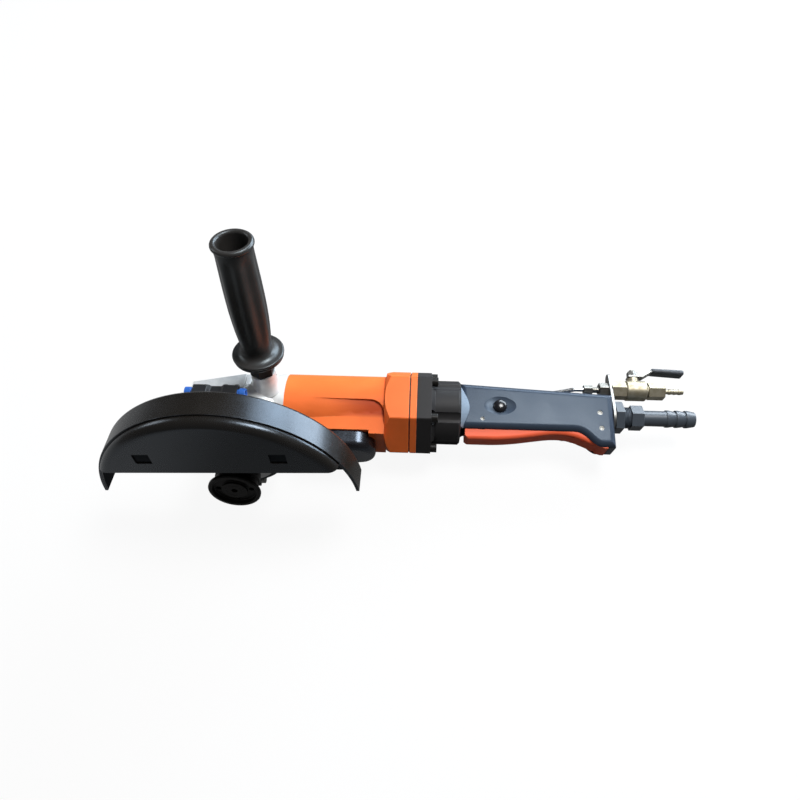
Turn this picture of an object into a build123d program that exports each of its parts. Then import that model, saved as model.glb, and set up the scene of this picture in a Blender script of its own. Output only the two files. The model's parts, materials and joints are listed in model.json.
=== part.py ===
"""Air angle grinder for 230 mm cut-off wheels, with a water feed.

Millimetres. X runs to the rear along the motor axis, Z is up and the throttle lever faces -Y.
The origin is on the flat of the hexagonal flange that the tool lies on.
The head with spindle, guard and side handle is set turned about the motor axis.
"""
import os
from math import cos, hypot, pi, radians, sin, sqrt, tan

from build123d import *

# Clearances
FIT = 0.05  # fixed round fits, on the radius
RUN = 0.05  # running shafts, on the radius
PLAY = 0.4  # beside pieces that move
EDGE = 1.0  # small chamfers

# Layout
HEX_FLATS = 81.0
HEX_SIDES = 6
HEX_TURN = 30.0  # stands a hexagonal bar on a corner
QUARTER_TURN = 90.0
HEAD_TURN = 18.0
AXIS_Z = HEX_FLATS / 2

# Motor housing and its flange
HOUSING_FRONT_X = -117.0
HOUSING_R = 36.7
HOUSING_BORE_R = 31.0
FLANGE_FRONT_X = -12.5
FLANGE_L = 25.0
FLANGE_CHAMFER_L = 6.0
HEX_EDGE_R = 2.0
RELIEF_R = 33.0
RELIEF_EDGE_Y = -2.0
RELIEF_FRONT_X = -86.0
RELIEF_CORNER_R = 15.0
BLOCK_FRONT_X = -94.0
BLOCK_L = 66.0
BLOCK_HALF_H = 30.0
BLOCK_FACE_Y = -33.2
BLOCK_LIP_Y = -37.0
BLOCK_EDGE_R = 3.0
PORT_L = 40.0
PORT_HALF_H = 12.0

# Exhaust hood
HOOD_REACH = 19.0
HOOD_PAST_BLOCK = 6.0
HOOD_WALL = 3.0
HOOD_EDGE_R = 7.0
HOOD_END_R = 5.0

# Vane motor
LINER_FRONT_X = -92.0
LINER_L = 74.0
LINER_BORE_R = 25.0
LINER_OFFSET = 2.5
ROTOR_R = 22.0
ROTOR_GAP = 0.3
VANES = 5
VANE_T = 3.0
VANE_DEPTH = 10.0
PLATE_FRONT_T = 16.0
PLATE_REAR_T = 14.0
PLATE_WEB = 4.0
FRONT_SHAFT_R = 8.0
FRONT_BEARING_R = 16.0
REAR_SHAFT_R = 6.0
REAR_BEARING_R = 14.0

# Hexagonal stack behind the housing
GASKET_T = 1.2
COVER_T = 6.8
AIR_HOLE_R = 12.0
COLLAR_FLANGE_L = 15.0
COLLAR_NECK_L = 30.5
COLLAR_NECK_R = 34.0
COLLAR_FILLET_R = 2.0
COLLAR_FLARE_L = 3.6
SCALLOP_R = 8.5
SCREWS = 6
SCREW_CIRCLE_R = 40.0
SCREW_R = 3.0
SCREW_HEAD_R = 4.8
SCREW_HEAD_L = 6.5
SCREW_BITE = 16.0

# Grip
GRIP_L = 160.0
GRIP_HALF_T = 17.0
GRIP_BACK_FRONT_Y = 29.0
GRIP_BACK_TAIL_Y = 20.5
GRIP_BELLY_Y = -22.0
TAIL_Y = -38.0
TAIL_L = 16.0
TAIL_RISE_L = 27.0
TAIL_WALL = 6.5
TAIL_SLOPE = -0.3
SHOULDER_R = 29.0
SHOULDER_L = 11.0
SHOULDER_END_R = 15.0
GRIP_EDGE_R = 7.0
SLOT_PLAY = 0.6
SLOT_TOP_Y = -10.5
DIMPLE_FROM_COLLAR = 41.5
DIMPLE_Y = 3.0
DIMPLE_HALF_L = 17.0
DIMPLE_HALF_W = 10.5
DIMPLE_DEPTH = 3.2
BUTTON_R = 6.8
BUTTON_L = 9.0
BUTTON_DOME = 2.6
BUTTON_TRAVEL = 3.0

# Throttle lever and valve
LEVER_FROM_COLLAR = 5.0
LEVER_HALF_W = 11.5
LEVER_EDGE_Y = -20.0
LEVER_FACE_Y = -32.4
LEVER_NECK_TO_TAIL = 38.0
LEVER_NECK_T = 6.0
LEVER_NECK_Y = -28.0
LEVER_HEEL_Y = -39.0
LEVER_WALL = 3.5
PIVOT_TO_TAIL = 14.5
PIVOT_Y = -18.7
PIVOT_R = 2.5
PIVOT_BOSS_R = 5.6
STOP_FROM_COLLAR = 23.0
STOP_Y = -12.0
STOP_R = 2.0
NOTCH_W = 5.0
NOTCH_DEPTH = 1.9
DOWEL_TO_TAIL = 15.0
DOWEL_Y = -1.6
DOWEL_R = 2.5
DOWEL_L = 5.0
PIN_INSET = 0.8
PLUNGER_FROM_COLLAR = 64.0
PLUNGER_R = 3.5
PLUNGER_HEAD_R = 6.4
PLUNGER_HEAD_L = 4.0
PLUNGER_HEAD_Y = 1.0
VALVE_BORE_R = 8.2
VALVE_BORE_END_Y = 16.0
BUSHING_L = 8.5

# Air inlet
BRACKET_T = 3.0
INLET_SHANK_R = 9.5
INLET_SHANK_L = 16.0
INLET_HEX = 30.0
INLET_HEX_L = 8.5
INLET_NECK_R = 10.5
INLET_NECK_L = 8.5
INLET_BORE_R = 5.5
BARB_HEX = 23.5
BARB_HEX_L = 12.5
BARB_TUBE_R = 8.3
BARB_TUBE_L = 25.0
BARB_CREST_R = 9.3
BARB_ROOT_R = 7.9
BARB_PITCH = 10.0
BARB_RIDGES = 3

# Water line on the back side
WATER_Y = 31.5
BRACKET_INLET_R = 14.5
BRACKET_WATER_R = 6.0
BRACKET_WATER_OUT = 12.5
WATER_SHANK_R = 6.5
BULKHEAD_HEX = 14.0
BULKHEAD_HEX_L = 9.7
BULKHEAD_NECK_R = 3.2
BULKHEAD_NECK_L = 7.0
PIPE_NUT_HEX = 9.0
PIPE_NUT_L = 9.5
PIPE_R = 2.2
PIPE_INSET = 5.0
VALVE_HEX = 17.6
VALVE_HEX_L = 15.3
VALVE_BODY_R = 10.9
VALVE_BODY_L = 21.5
VALVE_FLOW_R = 4.5
VALVE_SOCKET_L = 8.0
BALL_R = 8.0
BALL_FROM_HEX = 9.5
BALL_GAP = 0.3
GLAND_R = 6.2
GLAND_TOP = 14.0
STEM_R = 3.0
STEM_TOP = 24.0
HANDLE_T = 2.0
HANDLE_W = 11.0
HANDLE_LIFT = 0.8
HANDLE_REACH = 51.0
HANDLE_RISE = 6.0
HANDLE_SLOPE_L = 9.0
HANDLE_BEND_X = 10.0
SLEEVE_L = 35.0
SLEEVE_W = 13.0
SLEEVE_T = 7.0
SLEEVE_EDGE_R = 3.2
NUT_HEX = 10.0
NUT_L = 5.0
WATER_NECK_L = 2.5
WATER_HEX = 16.5
WATER_HEX_L = 17.0
WATER_BARB_L = 21.0
WATER_BARB_STEPS = 4
WATER_BARB_R = 3.1
WATER_BARB_ROOT_R = 2.5
WATER_BARB_BORE_R = 1.4

# Gear head
HEAD_R = 36.0
HEAD_NOSE = 46.0
HEAD_WAIST_R = 33.0
HEAD_FLANGE_R = 36.2
HEAD_FLANGE_L = 11.0
SPIGOT_L = 6.0
BARREL_R = 42.0
BARREL_WALL = 6.0
BARREL_OVERLAP = 4.0  # past the housing's front
SPINDLE_X = HOUSING_FRONT_X + BARREL_OVERLAP - BARREL_R
BARREL_BACK = 4.0
BARREL_FRONT = 45.0
CHAMBER_BACK = 7.0
CHAMBER_R = 36.0
PINION_BORE_R = 20.0
LOWER_BOSS_R = 13.0
HANDLE_THREAD_R = 6.9
HANDLE_THREAD_L = 15.0

# Spindle line, measured from the motor axis towards the lock nut
REAR_BEARING_BACK = -23.0
REAR_BEARING_L = 12.0
SPINDLE_REAR_BEARING_R = 11.0
SPINDLE_REAR_R = 8.0
SPINDLE_GEAR_R = 12.0
FRONT_BEARING_L = 19.0
SPINDLE_FRONT_BEARING_R = BARREL_R - BARREL_WALL
SPINDLE_BEARING_SEAT_R = 15.0
SPINDLE_NECK_R = 17.0
SPINDLE_THREAD_R = 8.0
SPINDLE_BORE_R = 3.0
WHEEL_FLANGE_BACK = 84.0
WHEEL_FLANGE_R = 22.0
WHEEL_FLANGE_L = 12.0
LOCK_NUT_R = 25.6
LOCK_NUT_BODY_R = 21.0
LOCK_NUT_LIP_L = 3.5
LOCK_NUT_TAPER_L = 1.5
LOCK_NUT_L = 12.5
LOCK_NUT_RIM = 5.0
LOCK_NUT_RECESS = 4.0
LOCK_NUT_HUB_R = 12.5
PIN_HOLE_R = 2.6
PIN_HOLE_CIRCLE_R = 16.3
PIN_HOLES = 4
SPINDLE_INSIDE_NUT = 1.5

# Bevel pair
GEAR_TEETH = 24
PINION_TEETH = 12
TOOTH_MODULE = 2.75
TOOTH_HEIGHT_ABOVE = 1.9
TOOTH_HEIGHT_BELOW = 2.5
TOOTH_SHARE = 0.36
FLANK_ANGLE = 20.0
SMALL_END = 0.67
BLANK_SPARE = 0.02  # share of the cone that the blank reaches past the teeth
GEAR_BACK = 24.6
PINION_HUB_R = 13.0
PINION_HUB_L = 7.0

# Bearing cap, seal and guard
CAP_T = 8.0
CAP_SHOULDER = 8.0
CAP_NECK_R = BARREL_R - CAP_SHOULDER
CAP_NECK_L = 18.0
CAP_BORE_R = 17.4
CAP_SCREWS = 4
CAP_SCREW_R = 1.7
CAP_SCREW_HEAD_R = 2.9
CAP_SCREW_HEAD_L = 3.0
CAP_SCREW_BITE = 10.0
CAP_SCREW_INSET = 3.0
CAP_SCREW_CIRCLE_R = BARREL_R - CAP_SCREW_INSET
CAP_SCREW_ANGLE = 45.0
SEAL_R = 24.0
SEAL_L = 8.0
GUARD_TURN = 3.1
GUARD_R = 125.0
GUARD_SHEET = 3.0
GUARD_BACK = 86.0
GUARD_FRONT = 113.5
GUARD_END_H = 10.0
GUARD_CORNER_R = 4.0
GUARD_STEP_OVER_NECK = 10.0
GUARD_STEP_R = CAP_NECK_R + GUARD_STEP_OVER_NECK
COLLAR_GAP = 0.3
COLLAR_SHEET = 3.2
COLLAR_L = 15.0
COVER_CHORD_H = 53.5
COVER_DEPTH = 9.5
COVER_SHEET = 2.5
COVER_INSET = 1.8
COVER_EDGE_R = 8.5
WINDOW_W = 15.0
WINDOW_L = 13.0
WINDOW_X = 61.0
WINDOW_H = 74.5
BAND_T = 3.5
BAND_L = 10.0
BAND_GAP = 3.0
EAR_T = 6.0
EAR_REACH = 15.0
EAR_SCREW_AT = 9.0
CLAMP_SCREW_R = 2.5
CLAMP_HEAD_R = 4.5
CLAMP_HEAD_L = 5.0
CLAMP_NUT_L = 4.0

# Side handle
HANDLE_SETBACK = 20.0  # ahead of the housing's front
HANDLE_OFFSET = HOUSING_FRONT_X - HANDLE_SETBACK - SPINDLE_X
SOCKET_RISE = 16.0
SOCKET_TOP = BARREL_R + SOCKET_RISE
SOCKET_R = 12.5
SOCKET_BASE_R = 17.0
STUD_R = 7.0
STUD_BITE = 16.0
STUD_HEX = 22.0
STUD_HEX_L = 11.0
STUD_COLLAR_R = 13.0
GRIP_BASE = 80.0
GRIP_END = 216.0
GRIP_FLANGE_R = 25.5
GRIP_FLANGE_L = 6.5
GRIP_FLANGE_EDGE_R = 3.0
GRIP_WAIST_R = 14.0
GRIP_WAIST_UP = 12.0
GRIP_BELLY_R = 17.0
GRIP_END_R = 17.2
LIP_R = 2.75
GRIP_HOLE_R = 13.5
GRIP_HOLE_L = 64.0
FLUTES = 7
FLUTE_START = -8.0  # degrees from the nut side towards the rear
FLUTE_R = 40.0
FLUTE_DEPTH = 0.7
FLUTE_RUN_OUT = 18.0

# Water bracket and push-in union on top of the head
PAD_RISE = 0.3
PAD_TOP = BARREL_R + PAD_RISE
PAD_L = 23.0
PAD_W = 22.0
PAD_FRONT = -24.5
PAD_BACK_S = 12.0
PLATE_T = 4.6
PLATE_FRONT = -54.5
PLATE_NEAR_S = 36.0
PLATE_FAR_S = -6.0
PLATE_TAPER = 13.0
UNION_FRONT = -47.5
UNION_L = 45.0
UNION_SIZE = 13.0
UNION_S = 27.5
UNION_NOTCH_TOP = 17.0
UNION_NOTCH_FOOT = 10.0
UNION_NOTCH_DEPTH = 3.0
TUBE_HOLE_R = 3.1
RELEASE_R = 5.6
RELEASE_L = 6.2
RELEASE_GAP = 1.7
RELEASE_SLEEVE_R = 4.3
RELEASE_SLEEVE_L = 8.0
PLATE_SCREW_R = 2.4
PLATE_SCREW_HEAD_R = 3.4
PLATE_SCREW_HEAD_L = 3.4

# Water elbow behind the head
ELBOW_R = 7.0
ELBOW_SHANK_R = 5.0
ELBOW_BACK = 50.0
ELBOW_ARM_S = -43.0
ELBOW_ARM_R = 5.0
ELBOW_ARM_L = 16.0

PIPE_RUN_OUT = 14.0
PIPE_BEND_R = 12.0
PIPE_POINTS = (  # along the back of the grip and past the flange, as (x, y, z from the axis)
    (168.0, 29.0, -6.0),
    (92.0, 34.0, -12.0),
    (52.0, 40.0, -24.0),
    (-100.0, 40.0, -24.0),
)

# Directions and planes
turn = radians(HEAD_TURN)
ALONG = Vector(1, 0, 0)
UP = Vector(0, 0, 1)
TO_NUT = Vector(0, -cos(turn), sin(turn))
TO_HANDLE = Vector(0, sin(turn), cos(turn))
HEAD_CENTRE = Vector(SPINDLE_X, 0, AXIS_Z)


def section(origin, along, across):
    """Plane of a turned profile: local x runs along the axis and local y is the radius."""
    return Plane(origin=origin, x_dir=along, z_dir=Vector(along).cross(Vector(across)))


TOOL = section((0, 0, AXIS_Z), ALONG, UP)
SPINDLE = section(HEAD_CENTRE, TO_NUT, ALONG)
HANDLE = section(HEAD_CENTRE + ALONG * HANDLE_OFFSET, TO_HANDLE, ALONG)
WATER = section((0, WATER_Y, AXIS_Z), ALONG, UP)
SIDE = Plane.XY.offset(AXIS_Z)


def across_tool(x, y=0):
    """Plane square to the motor axis, with Y and Z as its directions."""
    return Plane(origin=(x, y, AXIS_Z), x_dir=(0, 1, 0), z_dir=ALONG)


def across_spindle(distance, angle=0):
    """Plane square to the spindle, turned by an angle, with the handle direction as local y."""
    sideways = ALONG * cos(radians(angle)) + TO_HANDLE * sin(radians(angle))
    return Plane(origin=HEAD_CENTRE + TO_NUT * distance, x_dir=sideways, z_dir=TO_NUT)


def across_handle(height):
    """Plane square to the side handle."""
    return Plane(origin=HANDLE.origin + TO_HANDLE * height, x_dir=ALONG, z_dir=TO_HANDLE)


def head_top(height):
    """Plane over the head at a height; local x runs along the tool and local y away from the nut."""
    return Plane(origin=HEAD_CENTRE + TO_HANDLE * height, x_dir=ALONG, z_dir=TO_HANDLE)


def turned(plane, points, mode=Mode.ADD):
    """Solid of revolution from points given as (along the axis, radius)."""
    with BuildSketch(plane) as outline:
        with BuildLine():
            Polyline(*points, close=True)
        make_face()
    revolve(outline.sketch, axis=Axis(plane.origin, plane.x_dir), mode=mode)


def rod(plane, start, end, radius, mode=Mode.ADD):
    """Round bar between two places on an axis."""
    turned(plane, [(start, 0), (end, 0), (end, radius), (start, radius)], mode)


def ring(plane, start, end, inner, outer, mode=Mode.ADD):
    """Round tube between two places on an axis."""
    turned(plane, [(start, inner), (end, inner), (end, outer), (start, outer)], mode)


def hex_bar(plane, flats, length, mode=Mode.ADD):
    """Hexagonal bar standing on a plane."""
    with BuildSketch(plane) as outline:
        RegularPolygon(flats / 2, HEX_SIDES, major_radius=False, rotation=HEX_TURN)
    extrude(outline.sketch, amount=length, mode=mode)


def drilled(plane, circle_r, count, radius, depth, mode=Mode.SUBTRACT):
    """Holes, or pins with another mode, on a circle about a plane's origin."""
    with BuildSketch(plane) as outline:
        with PolarLocations(circle_r, count):
            Circle(radius)
    extrude(outline.sketch, amount=depth, mode=mode)


def keep(builder, name):
    """Labels a finished piece and writes it."""
    builder.part.label = name
    export_step(builder.part, f"parts/{name}.step")


os.makedirs("parts", exist_ok=True)

# Places that more than one piece uses
plate_screw_places = [
    (PAD_FRONT + share * PAD_L, -PAD_BACK_S - PLATE_SCREW_HEAD_R) for share in (0.25, 0.75)
]
lower_boss_reach = (AXIS_Z - LOWER_BOSS_R * sin(turn)) / cos(turn)
dimple_lift = (DIMPLE_HALF_W**2 - DIMPLE_DEPTH**2) / (2 * DIMPLE_DEPTH)
button_foot = GRIP_HALF_T + BUTTON_DOME - BUTTON_L
guard_side = ALONG * cos(radians(GUARD_TURN)) + TO_HANDLE * sin(radians(GUARD_TURN))
guard_up = TO_HANDLE * cos(radians(GUARD_TURN)) - ALONG * sin(radians(GUARD_TURN))


# Gear head casting
def head_casing(mode=Mode.ADD):
    """Outside of the casting round the motor axis: rounded nose, waist and flange."""
    waist_end = HOUSING_FRONT_X - HEAD_FLANGE_L
    with BuildSketch(TOOL) as outline:
        with BuildLine():
            EllipticalCenterArc(
                (SPINDLE_X, 0), HEAD_NOSE, HEAD_R, start_angle=QUARTER_TURN, arc_size=QUARTER_TURN
            )
            Polyline(
                (SPINDLE_X - HEAD_NOSE, 0),
                (HOUSING_FRONT_X, 0),
                (HOUSING_FRONT_X, HEAD_FLANGE_R),
                (waist_end, HEAD_FLANGE_R),
                (waist_end - (HEAD_FLANGE_R - HEAD_WAIST_R), HEAD_WAIST_R),
                (waist_end - HEAD_FLANGE_L, HEAD_WAIST_R),
                (SPINDLE_X, HEAD_R),
            )
        make_face()
    revolve(outline.sketch, axis=Axis(TOOL.origin, ALONG), mode=mode)


with BuildPart() as gear_head:
    head_casing()
    rod(SPINDLE, BARREL_BACK, BARREL_FRONT, BARREL_R)
    rod(TOOL, HOUSING_FRONT_X, HOUSING_FRONT_X + SPIGOT_L, HOUSING_R + PLAY, Mode.SUBTRACT)
    rod(HANDLE, -lower_boss_reach, -PINION_BORE_R, LOWER_BOSS_R)
    rod(HANDLE, -BARREL_R, -lower_boss_reach, LOWER_BOSS_R + EDGE, Mode.SUBTRACT)
    with BuildSketch(head_top(PAD_TOP)):
        with Locations((PAD_FRONT, -PAD_BACK_S)):
            Rectangle(PAD_L, PAD_W, align=(Align.MIN, Align.MAX))
    extrude(amount=-PAD_W)
    rod(TOOL, HOUSING_FRONT_X - HEAD_FLANGE_L, HOUSING_FRONT_X + SPIGOT_L, HOUSING_BORE_R - FIT)
    bearing_back = BARREL_FRONT - FRONT_BEARING_L
    rod(SPINDLE, CHAMBER_BACK, bearing_back, CHAMBER_R + FIT, Mode.SUBTRACT)
    rod(SPINDLE, bearing_back, BARREL_FRONT, SPINDLE_FRONT_BEARING_R + FIT, Mode.SUBTRACT)
    rod(SPINDLE, REAR_BEARING_BACK + REAR_BEARING_L, CHAMBER_BACK, SPINDLE_GEAR_R + PLAY, Mode.SUBTRACT)
    rod(
        SPINDLE,
        REAR_BEARING_BACK,
        REAR_BEARING_BACK + REAR_BEARING_L,
        SPINDLE_REAR_BEARING_R + FIT,
        Mode.SUBTRACT,
    )
    rod(SPINDLE, -ELBOW_BACK, REAR_BEARING_BACK, ELBOW_SHANK_R + FIT, Mode.SUBTRACT)
    rod(TOOL, SPINDLE_X, HOUSING_FRONT_X + SPIGOT_L, PINION_BORE_R, Mode.SUBTRACT)
    rod(HANDLE, -lower_boss_reach, HANDLE_THREAD_L - lower_boss_reach, HANDLE_THREAD_R, Mode.SUBTRACT)
    cap_holes = across_spindle(BARREL_FRONT, CAP_SCREW_ANGLE)
    drilled(cap_holes, CAP_SCREW_CIRCLE_R, CAP_SCREWS, CAP_SCREW_R + FIT, -CAP_SCREW_BITE)
    with BuildSketch(head_top(PAD_TOP)):
        with Locations(*plate_screw_places):
            Circle(PLATE_SCREW_R + FIT)
    extrude(amount=-PAD_W / 2, mode=Mode.SUBTRACT)
keep(gear_head, "gear_head")

# Spindle bearings, as sealed units
with BuildPart() as spindle_front_bearing:
    ring(
        SPINDLE,
        BARREL_FRONT - FRONT_BEARING_L,
        BARREL_FRONT,
        SPINDLE_BEARING_SEAT_R + RUN,
        SPINDLE_FRONT_BEARING_R,
    )
keep(spindle_front_bearing, "spindle_front_bearing")

with BuildPart() as spindle_rear_bearing:
    ring(
        SPINDLE,
        REAR_BEARING_BACK,
        REAR_BEARING_BACK + REAR_BEARING_L,
        SPINDLE_REAR_R + RUN,
        SPINDLE_REAR_BEARING_R,
    )
keep(spindle_rear_bearing, "spindle_rear_bearing")

# Bearing cap with the neck that carries the guard
cap_front = BARREL_FRONT + CAP_T
neck_front = cap_front + CAP_NECK_L
with BuildPart() as bearing_cap:
    turned(
        SPINDLE,
        [
            (BARREL_FRONT, CAP_BORE_R),
            (neck_front - SEAL_L, CAP_BORE_R),
            (neck_front - SEAL_L, SEAL_R + FIT),
            (neck_front, SEAL_R + FIT),
            (neck_front, CAP_NECK_R),
            (cap_front, CAP_NECK_R),
            (cap_front, BARREL_R),
            (BARREL_FRONT, BARREL_R),
        ],
    )
    cap_face = across_spindle(cap_front, CAP_SCREW_ANGLE)
    drilled(cap_holes, CAP_SCREW_CIRCLE_R, CAP_SCREWS, CAP_SCREW_R + FIT, CAP_T)
    drilled(cap_face, CAP_SCREW_CIRCLE_R, CAP_SCREWS, CAP_SCREW_HEAD_R + FIT, -CAP_SCREW_HEAD_L)
keep(bearing_cap, "bearing_cap")

with BuildPart() as cap_screws:
    screw_foot = BARREL_FRONT - CAP_SCREW_BITE
    shank_l = CAP_SCREW_BITE + CAP_T - CAP_SCREW_HEAD_L
    screw_feet = across_spindle(screw_foot, CAP_SCREW_ANGLE)
    drilled(screw_feet, CAP_SCREW_CIRCLE_R, CAP_SCREWS, CAP_SCREW_R, shank_l, Mode.ADD)
    drilled(cap_face, CAP_SCREW_CIRCLE_R, CAP_SCREWS, CAP_SCREW_HEAD_R, -CAP_SCREW_HEAD_L, Mode.ADD)
keep(cap_screws, "cap_screws")

with BuildPart() as spindle_seal:
    ring(SPINDLE, neck_front - SEAL_L, neck_front, SPINDLE_NECK_R + RUN, SEAL_R)
keep(spindle_seal, "spindle_seal")

# Spindle with its water bore, wheel flange and lock nut
nut_back = WHEEL_FLANGE_BACK + WHEEL_FLANGE_L
nut_front = nut_back + LOCK_NUT_L
with BuildPart() as spindle:
    turned(
        SPINDLE,
        [
            (REAR_BEARING_BACK, SPINDLE_BORE_R),
            (nut_front - SPINDLE_INSIDE_NUT, SPINDLE_BORE_R),
            (nut_front - SPINDLE_INSIDE_NUT, SPINDLE_THREAD_R),
            (WHEEL_FLANGE_BACK, SPINDLE_THREAD_R),
            (WHEEL_FLANGE_BACK, SPINDLE_NECK_R),
            (BARREL_FRONT + PLAY, SPINDLE_NECK_R),
            (BARREL_FRONT + PLAY, SPINDLE_BEARING_SEAT_R),
            (GEAR_BACK, SPINDLE_BEARING_SEAT_R),
            (GEAR_BACK, SPINDLE_GEAR_R),
            (REAR_BEARING_BACK + REAR_BEARING_L + PLAY, SPINDLE_GEAR_R),
            (REAR_BEARING_BACK + REAR_BEARING_L + PLAY, SPINDLE_REAR_R),
            (REAR_BEARING_BACK, SPINDLE_REAR_R),
        ],
    )
keep(spindle, "spindle")

with BuildPart() as wheel_flange:
    ring(SPINDLE, WHEEL_FLANGE_BACK, nut_back, SPINDLE_THREAD_R + FIT, WHEEL_FLANGE_R)
    chamfer(wheel_flange.edges().filter_by(GeomType.CIRCLE).sort_by(SortBy.RADIUS)[-2:], HEX_EDGE_R)
keep(wheel_flange, "wheel_flange")

with BuildPart() as lock_nut:
    recess = nut_front - LOCK_NUT_RECESS
    turned(
        SPINDLE,
        [
            (nut_back, SPINDLE_THREAD_R + FIT),
            (nut_front - SPINDLE_INSIDE_NUT, SPINDLE_THREAD_R + FIT),
            (nut_front - SPINDLE_INSIDE_NUT, LOCK_NUT_HUB_R),
            (recess, LOCK_NUT_HUB_R),
            (recess, LOCK_NUT_R - LOCK_NUT_RIM),
            (nut_front, LOCK_NUT_R - LOCK_NUT_RIM + EDGE),
            (nut_front, LOCK_NUT_R - EDGE),
            (nut_front - EDGE, LOCK_NUT_R),
            (nut_front - LOCK_NUT_LIP_L, LOCK_NUT_R),
            (nut_front - LOCK_NUT_LIP_L - LOCK_NUT_TAPER_L, LOCK_NUT_BODY_R),
            (nut_back, LOCK_NUT_BODY_R),
        ],
    )
    drilled(across_spindle(nut_back), PIN_HOLE_CIRCLE_R, PIN_HOLES, PIN_HOLE_R, LOCK_NUT_L)
keep(lock_nut, "lock_nut")


# Bevel pair, straight teeth that narrow towards the crossing of the axes
def bevel_wheel(plane, teeth, pitch_r, mate_r, half_step):
    """Adds teeth round an axis; the crossing of the two axes is the plane's origin."""
    cone = hypot(pitch_r, mate_r)
    half = TOOTH_SHARE * pi * TOOTH_MODULE / 2
    lean = tan(radians(FLANK_ANGLE))
    top = half - TOOTH_HEIGHT_ABOVE * lean
    sink = TOOTH_HEIGHT_BELOW + EDGE / 2
    foot = half + sink * lean
    for i in range(teeth):
        angle = radians((i + half_step) * 360 / teeth)
        spoke = plane.y_dir * cos(angle) + plane.z_dir * sin(angle)
        outward = (plane.x_dir * mate_r + spoke * pitch_r) * (1 / cone)
        raised = (spoke * mate_r - plane.x_dir * pitch_r) * (1 / cone)
        ends = []
        for share in (1, SMALL_END):
            seat = Plane(plane.origin + outward * (cone * share), raised.cross(outward), outward)
            with BuildSketch(seat) as end:
                with BuildLine():
                    Polyline(
                        (-foot * share, -sink * share),
                        (foot * share, -sink * share),
                        (top * share, TOOTH_HEIGHT_ABOVE * share),
                        (-top * share, TOOTH_HEIGHT_ABOVE * share),
                        close=True,
                    )
                make_face()
            ends.append(end.sketch)
        loft(ends, ruled=True)


def root_place(pitch_r, mate_r, share):
    """Place of the tooth root as (along the axis, radius) at a share of the cone."""
    cone = hypot(pitch_r, mate_r)
    along = mate_r + TOOTH_HEIGHT_BELOW * pitch_r / cone
    radius = pitch_r - TOOTH_HEIGHT_BELOW * mate_r / cone
    return (along * share, radius * share)


gear_pitch_r = GEAR_TEETH * TOOTH_MODULE / 2
pinion_pitch_r = PINION_TEETH * TOOTH_MODULE / 2
PINION = section(HEAD_CENTRE, ALONG, TO_NUT)
with BuildPart() as bevel_gear:
    rim = root_place(gear_pitch_r, pinion_pitch_r, 1 + BLANK_SPARE)
    inside = root_place(gear_pitch_r, pinion_pitch_r, SMALL_END - BLANK_SPARE)
    bore_r = SPINDLE_GEAR_R + FIT
    turned(SPINDLE, [rim, (GEAR_BACK, rim[1]), (GEAR_BACK, bore_r), (inside[0], bore_r), inside])
    bevel_wheel(SPINDLE, GEAR_TEETH, gear_pitch_r, pinion_pitch_r, 0.5)
keep(bevel_gear, "bevel_gear")

with BuildPart() as bevel_pinion:
    rim = root_place(pinion_pitch_r, gear_pitch_r, 1 + BLANK_SPARE)
    inside = root_place(pinion_pitch_r, gear_pitch_r, SMALL_END - BLANK_SPARE)
    hub_end = rim[0] + PINION_HUB_L
    bore_r = FRONT_SHAFT_R + FIT
    turned(
        PINION,
        [
            (inside[0], bore_r),
            (hub_end, bore_r),
            (hub_end, PINION_HUB_R),
            (rim[0], PINION_HUB_R),
            rim,
            inside,
        ],
    )
    bevel_wheel(PINION, PINION_TEETH, pinion_pitch_r, gear_pitch_r, 0)
keep(bevel_pinion, "bevel_pinion")
pinion_front_x = SPINDLE_X + inside[0]

# Guard: stepped back plate, rim and clamped collar
collar_in = CAP_NECK_R + COLLAR_GAP
collar_out = collar_in + COLLAR_SHEET
collar_front = neck_front - EDGE
collar_back = collar_front - COLLAR_L
rim_in = GUARD_R - GUARD_SHEET


def guard_plane(distance):
    """Plane square to the spindle in the guard's set position."""
    return across_spindle(distance, GUARD_TURN)


def guard_ring(start, end, inner, outer, lowest):
    """Part of a ring above a straight edge, between two distances along the spindle."""
    with BuildSketch(guard_plane(start)) as outline:
        Circle(outer)
        Circle(inner, mode=Mode.SUBTRACT)
        with Locations((0, lowest)):
            Rectangle(2 * outer, outer, align=(Align.CENTER, Align.MIN), mode=Mode.INTERSECT)
    extrude(outline.sketch, amount=end - start)


with BuildPart() as guard_shell:
    guard_ring(GUARD_BACK, GUARD_BACK + GUARD_SHEET, GUARD_STEP_R - GUARD_SHEET, GUARD_R, GUARD_END_H)
    guard_ring(GUARD_BACK, GUARD_FRONT, rim_in, GUARD_R, GUARD_END_H)
    guard_ring(
        collar_front - GUARD_SHEET,
        GUARD_BACK + GUARD_SHEET,
        GUARD_STEP_R - GUARD_SHEET,
        GUARD_STEP_R,
        GUARD_END_H,
    )
    guard_ring(collar_front - GUARD_SHEET, collar_front, collar_in, GUARD_STEP_R, GUARD_END_H)
    ring(SPINDLE, collar_back, collar_front, collar_in, collar_out)
    rim_edges = guard_shell.edges().filter_by(GeomType.CIRCLE).group_by(SortBy.RADIUS)[-1]
    fillet(rim_edges.sort_by(Axis(HEAD_CENTRE, TO_NUT))[0], GUARD_CORNER_R)
keep(guard_shell, "guard_shell")

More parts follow.
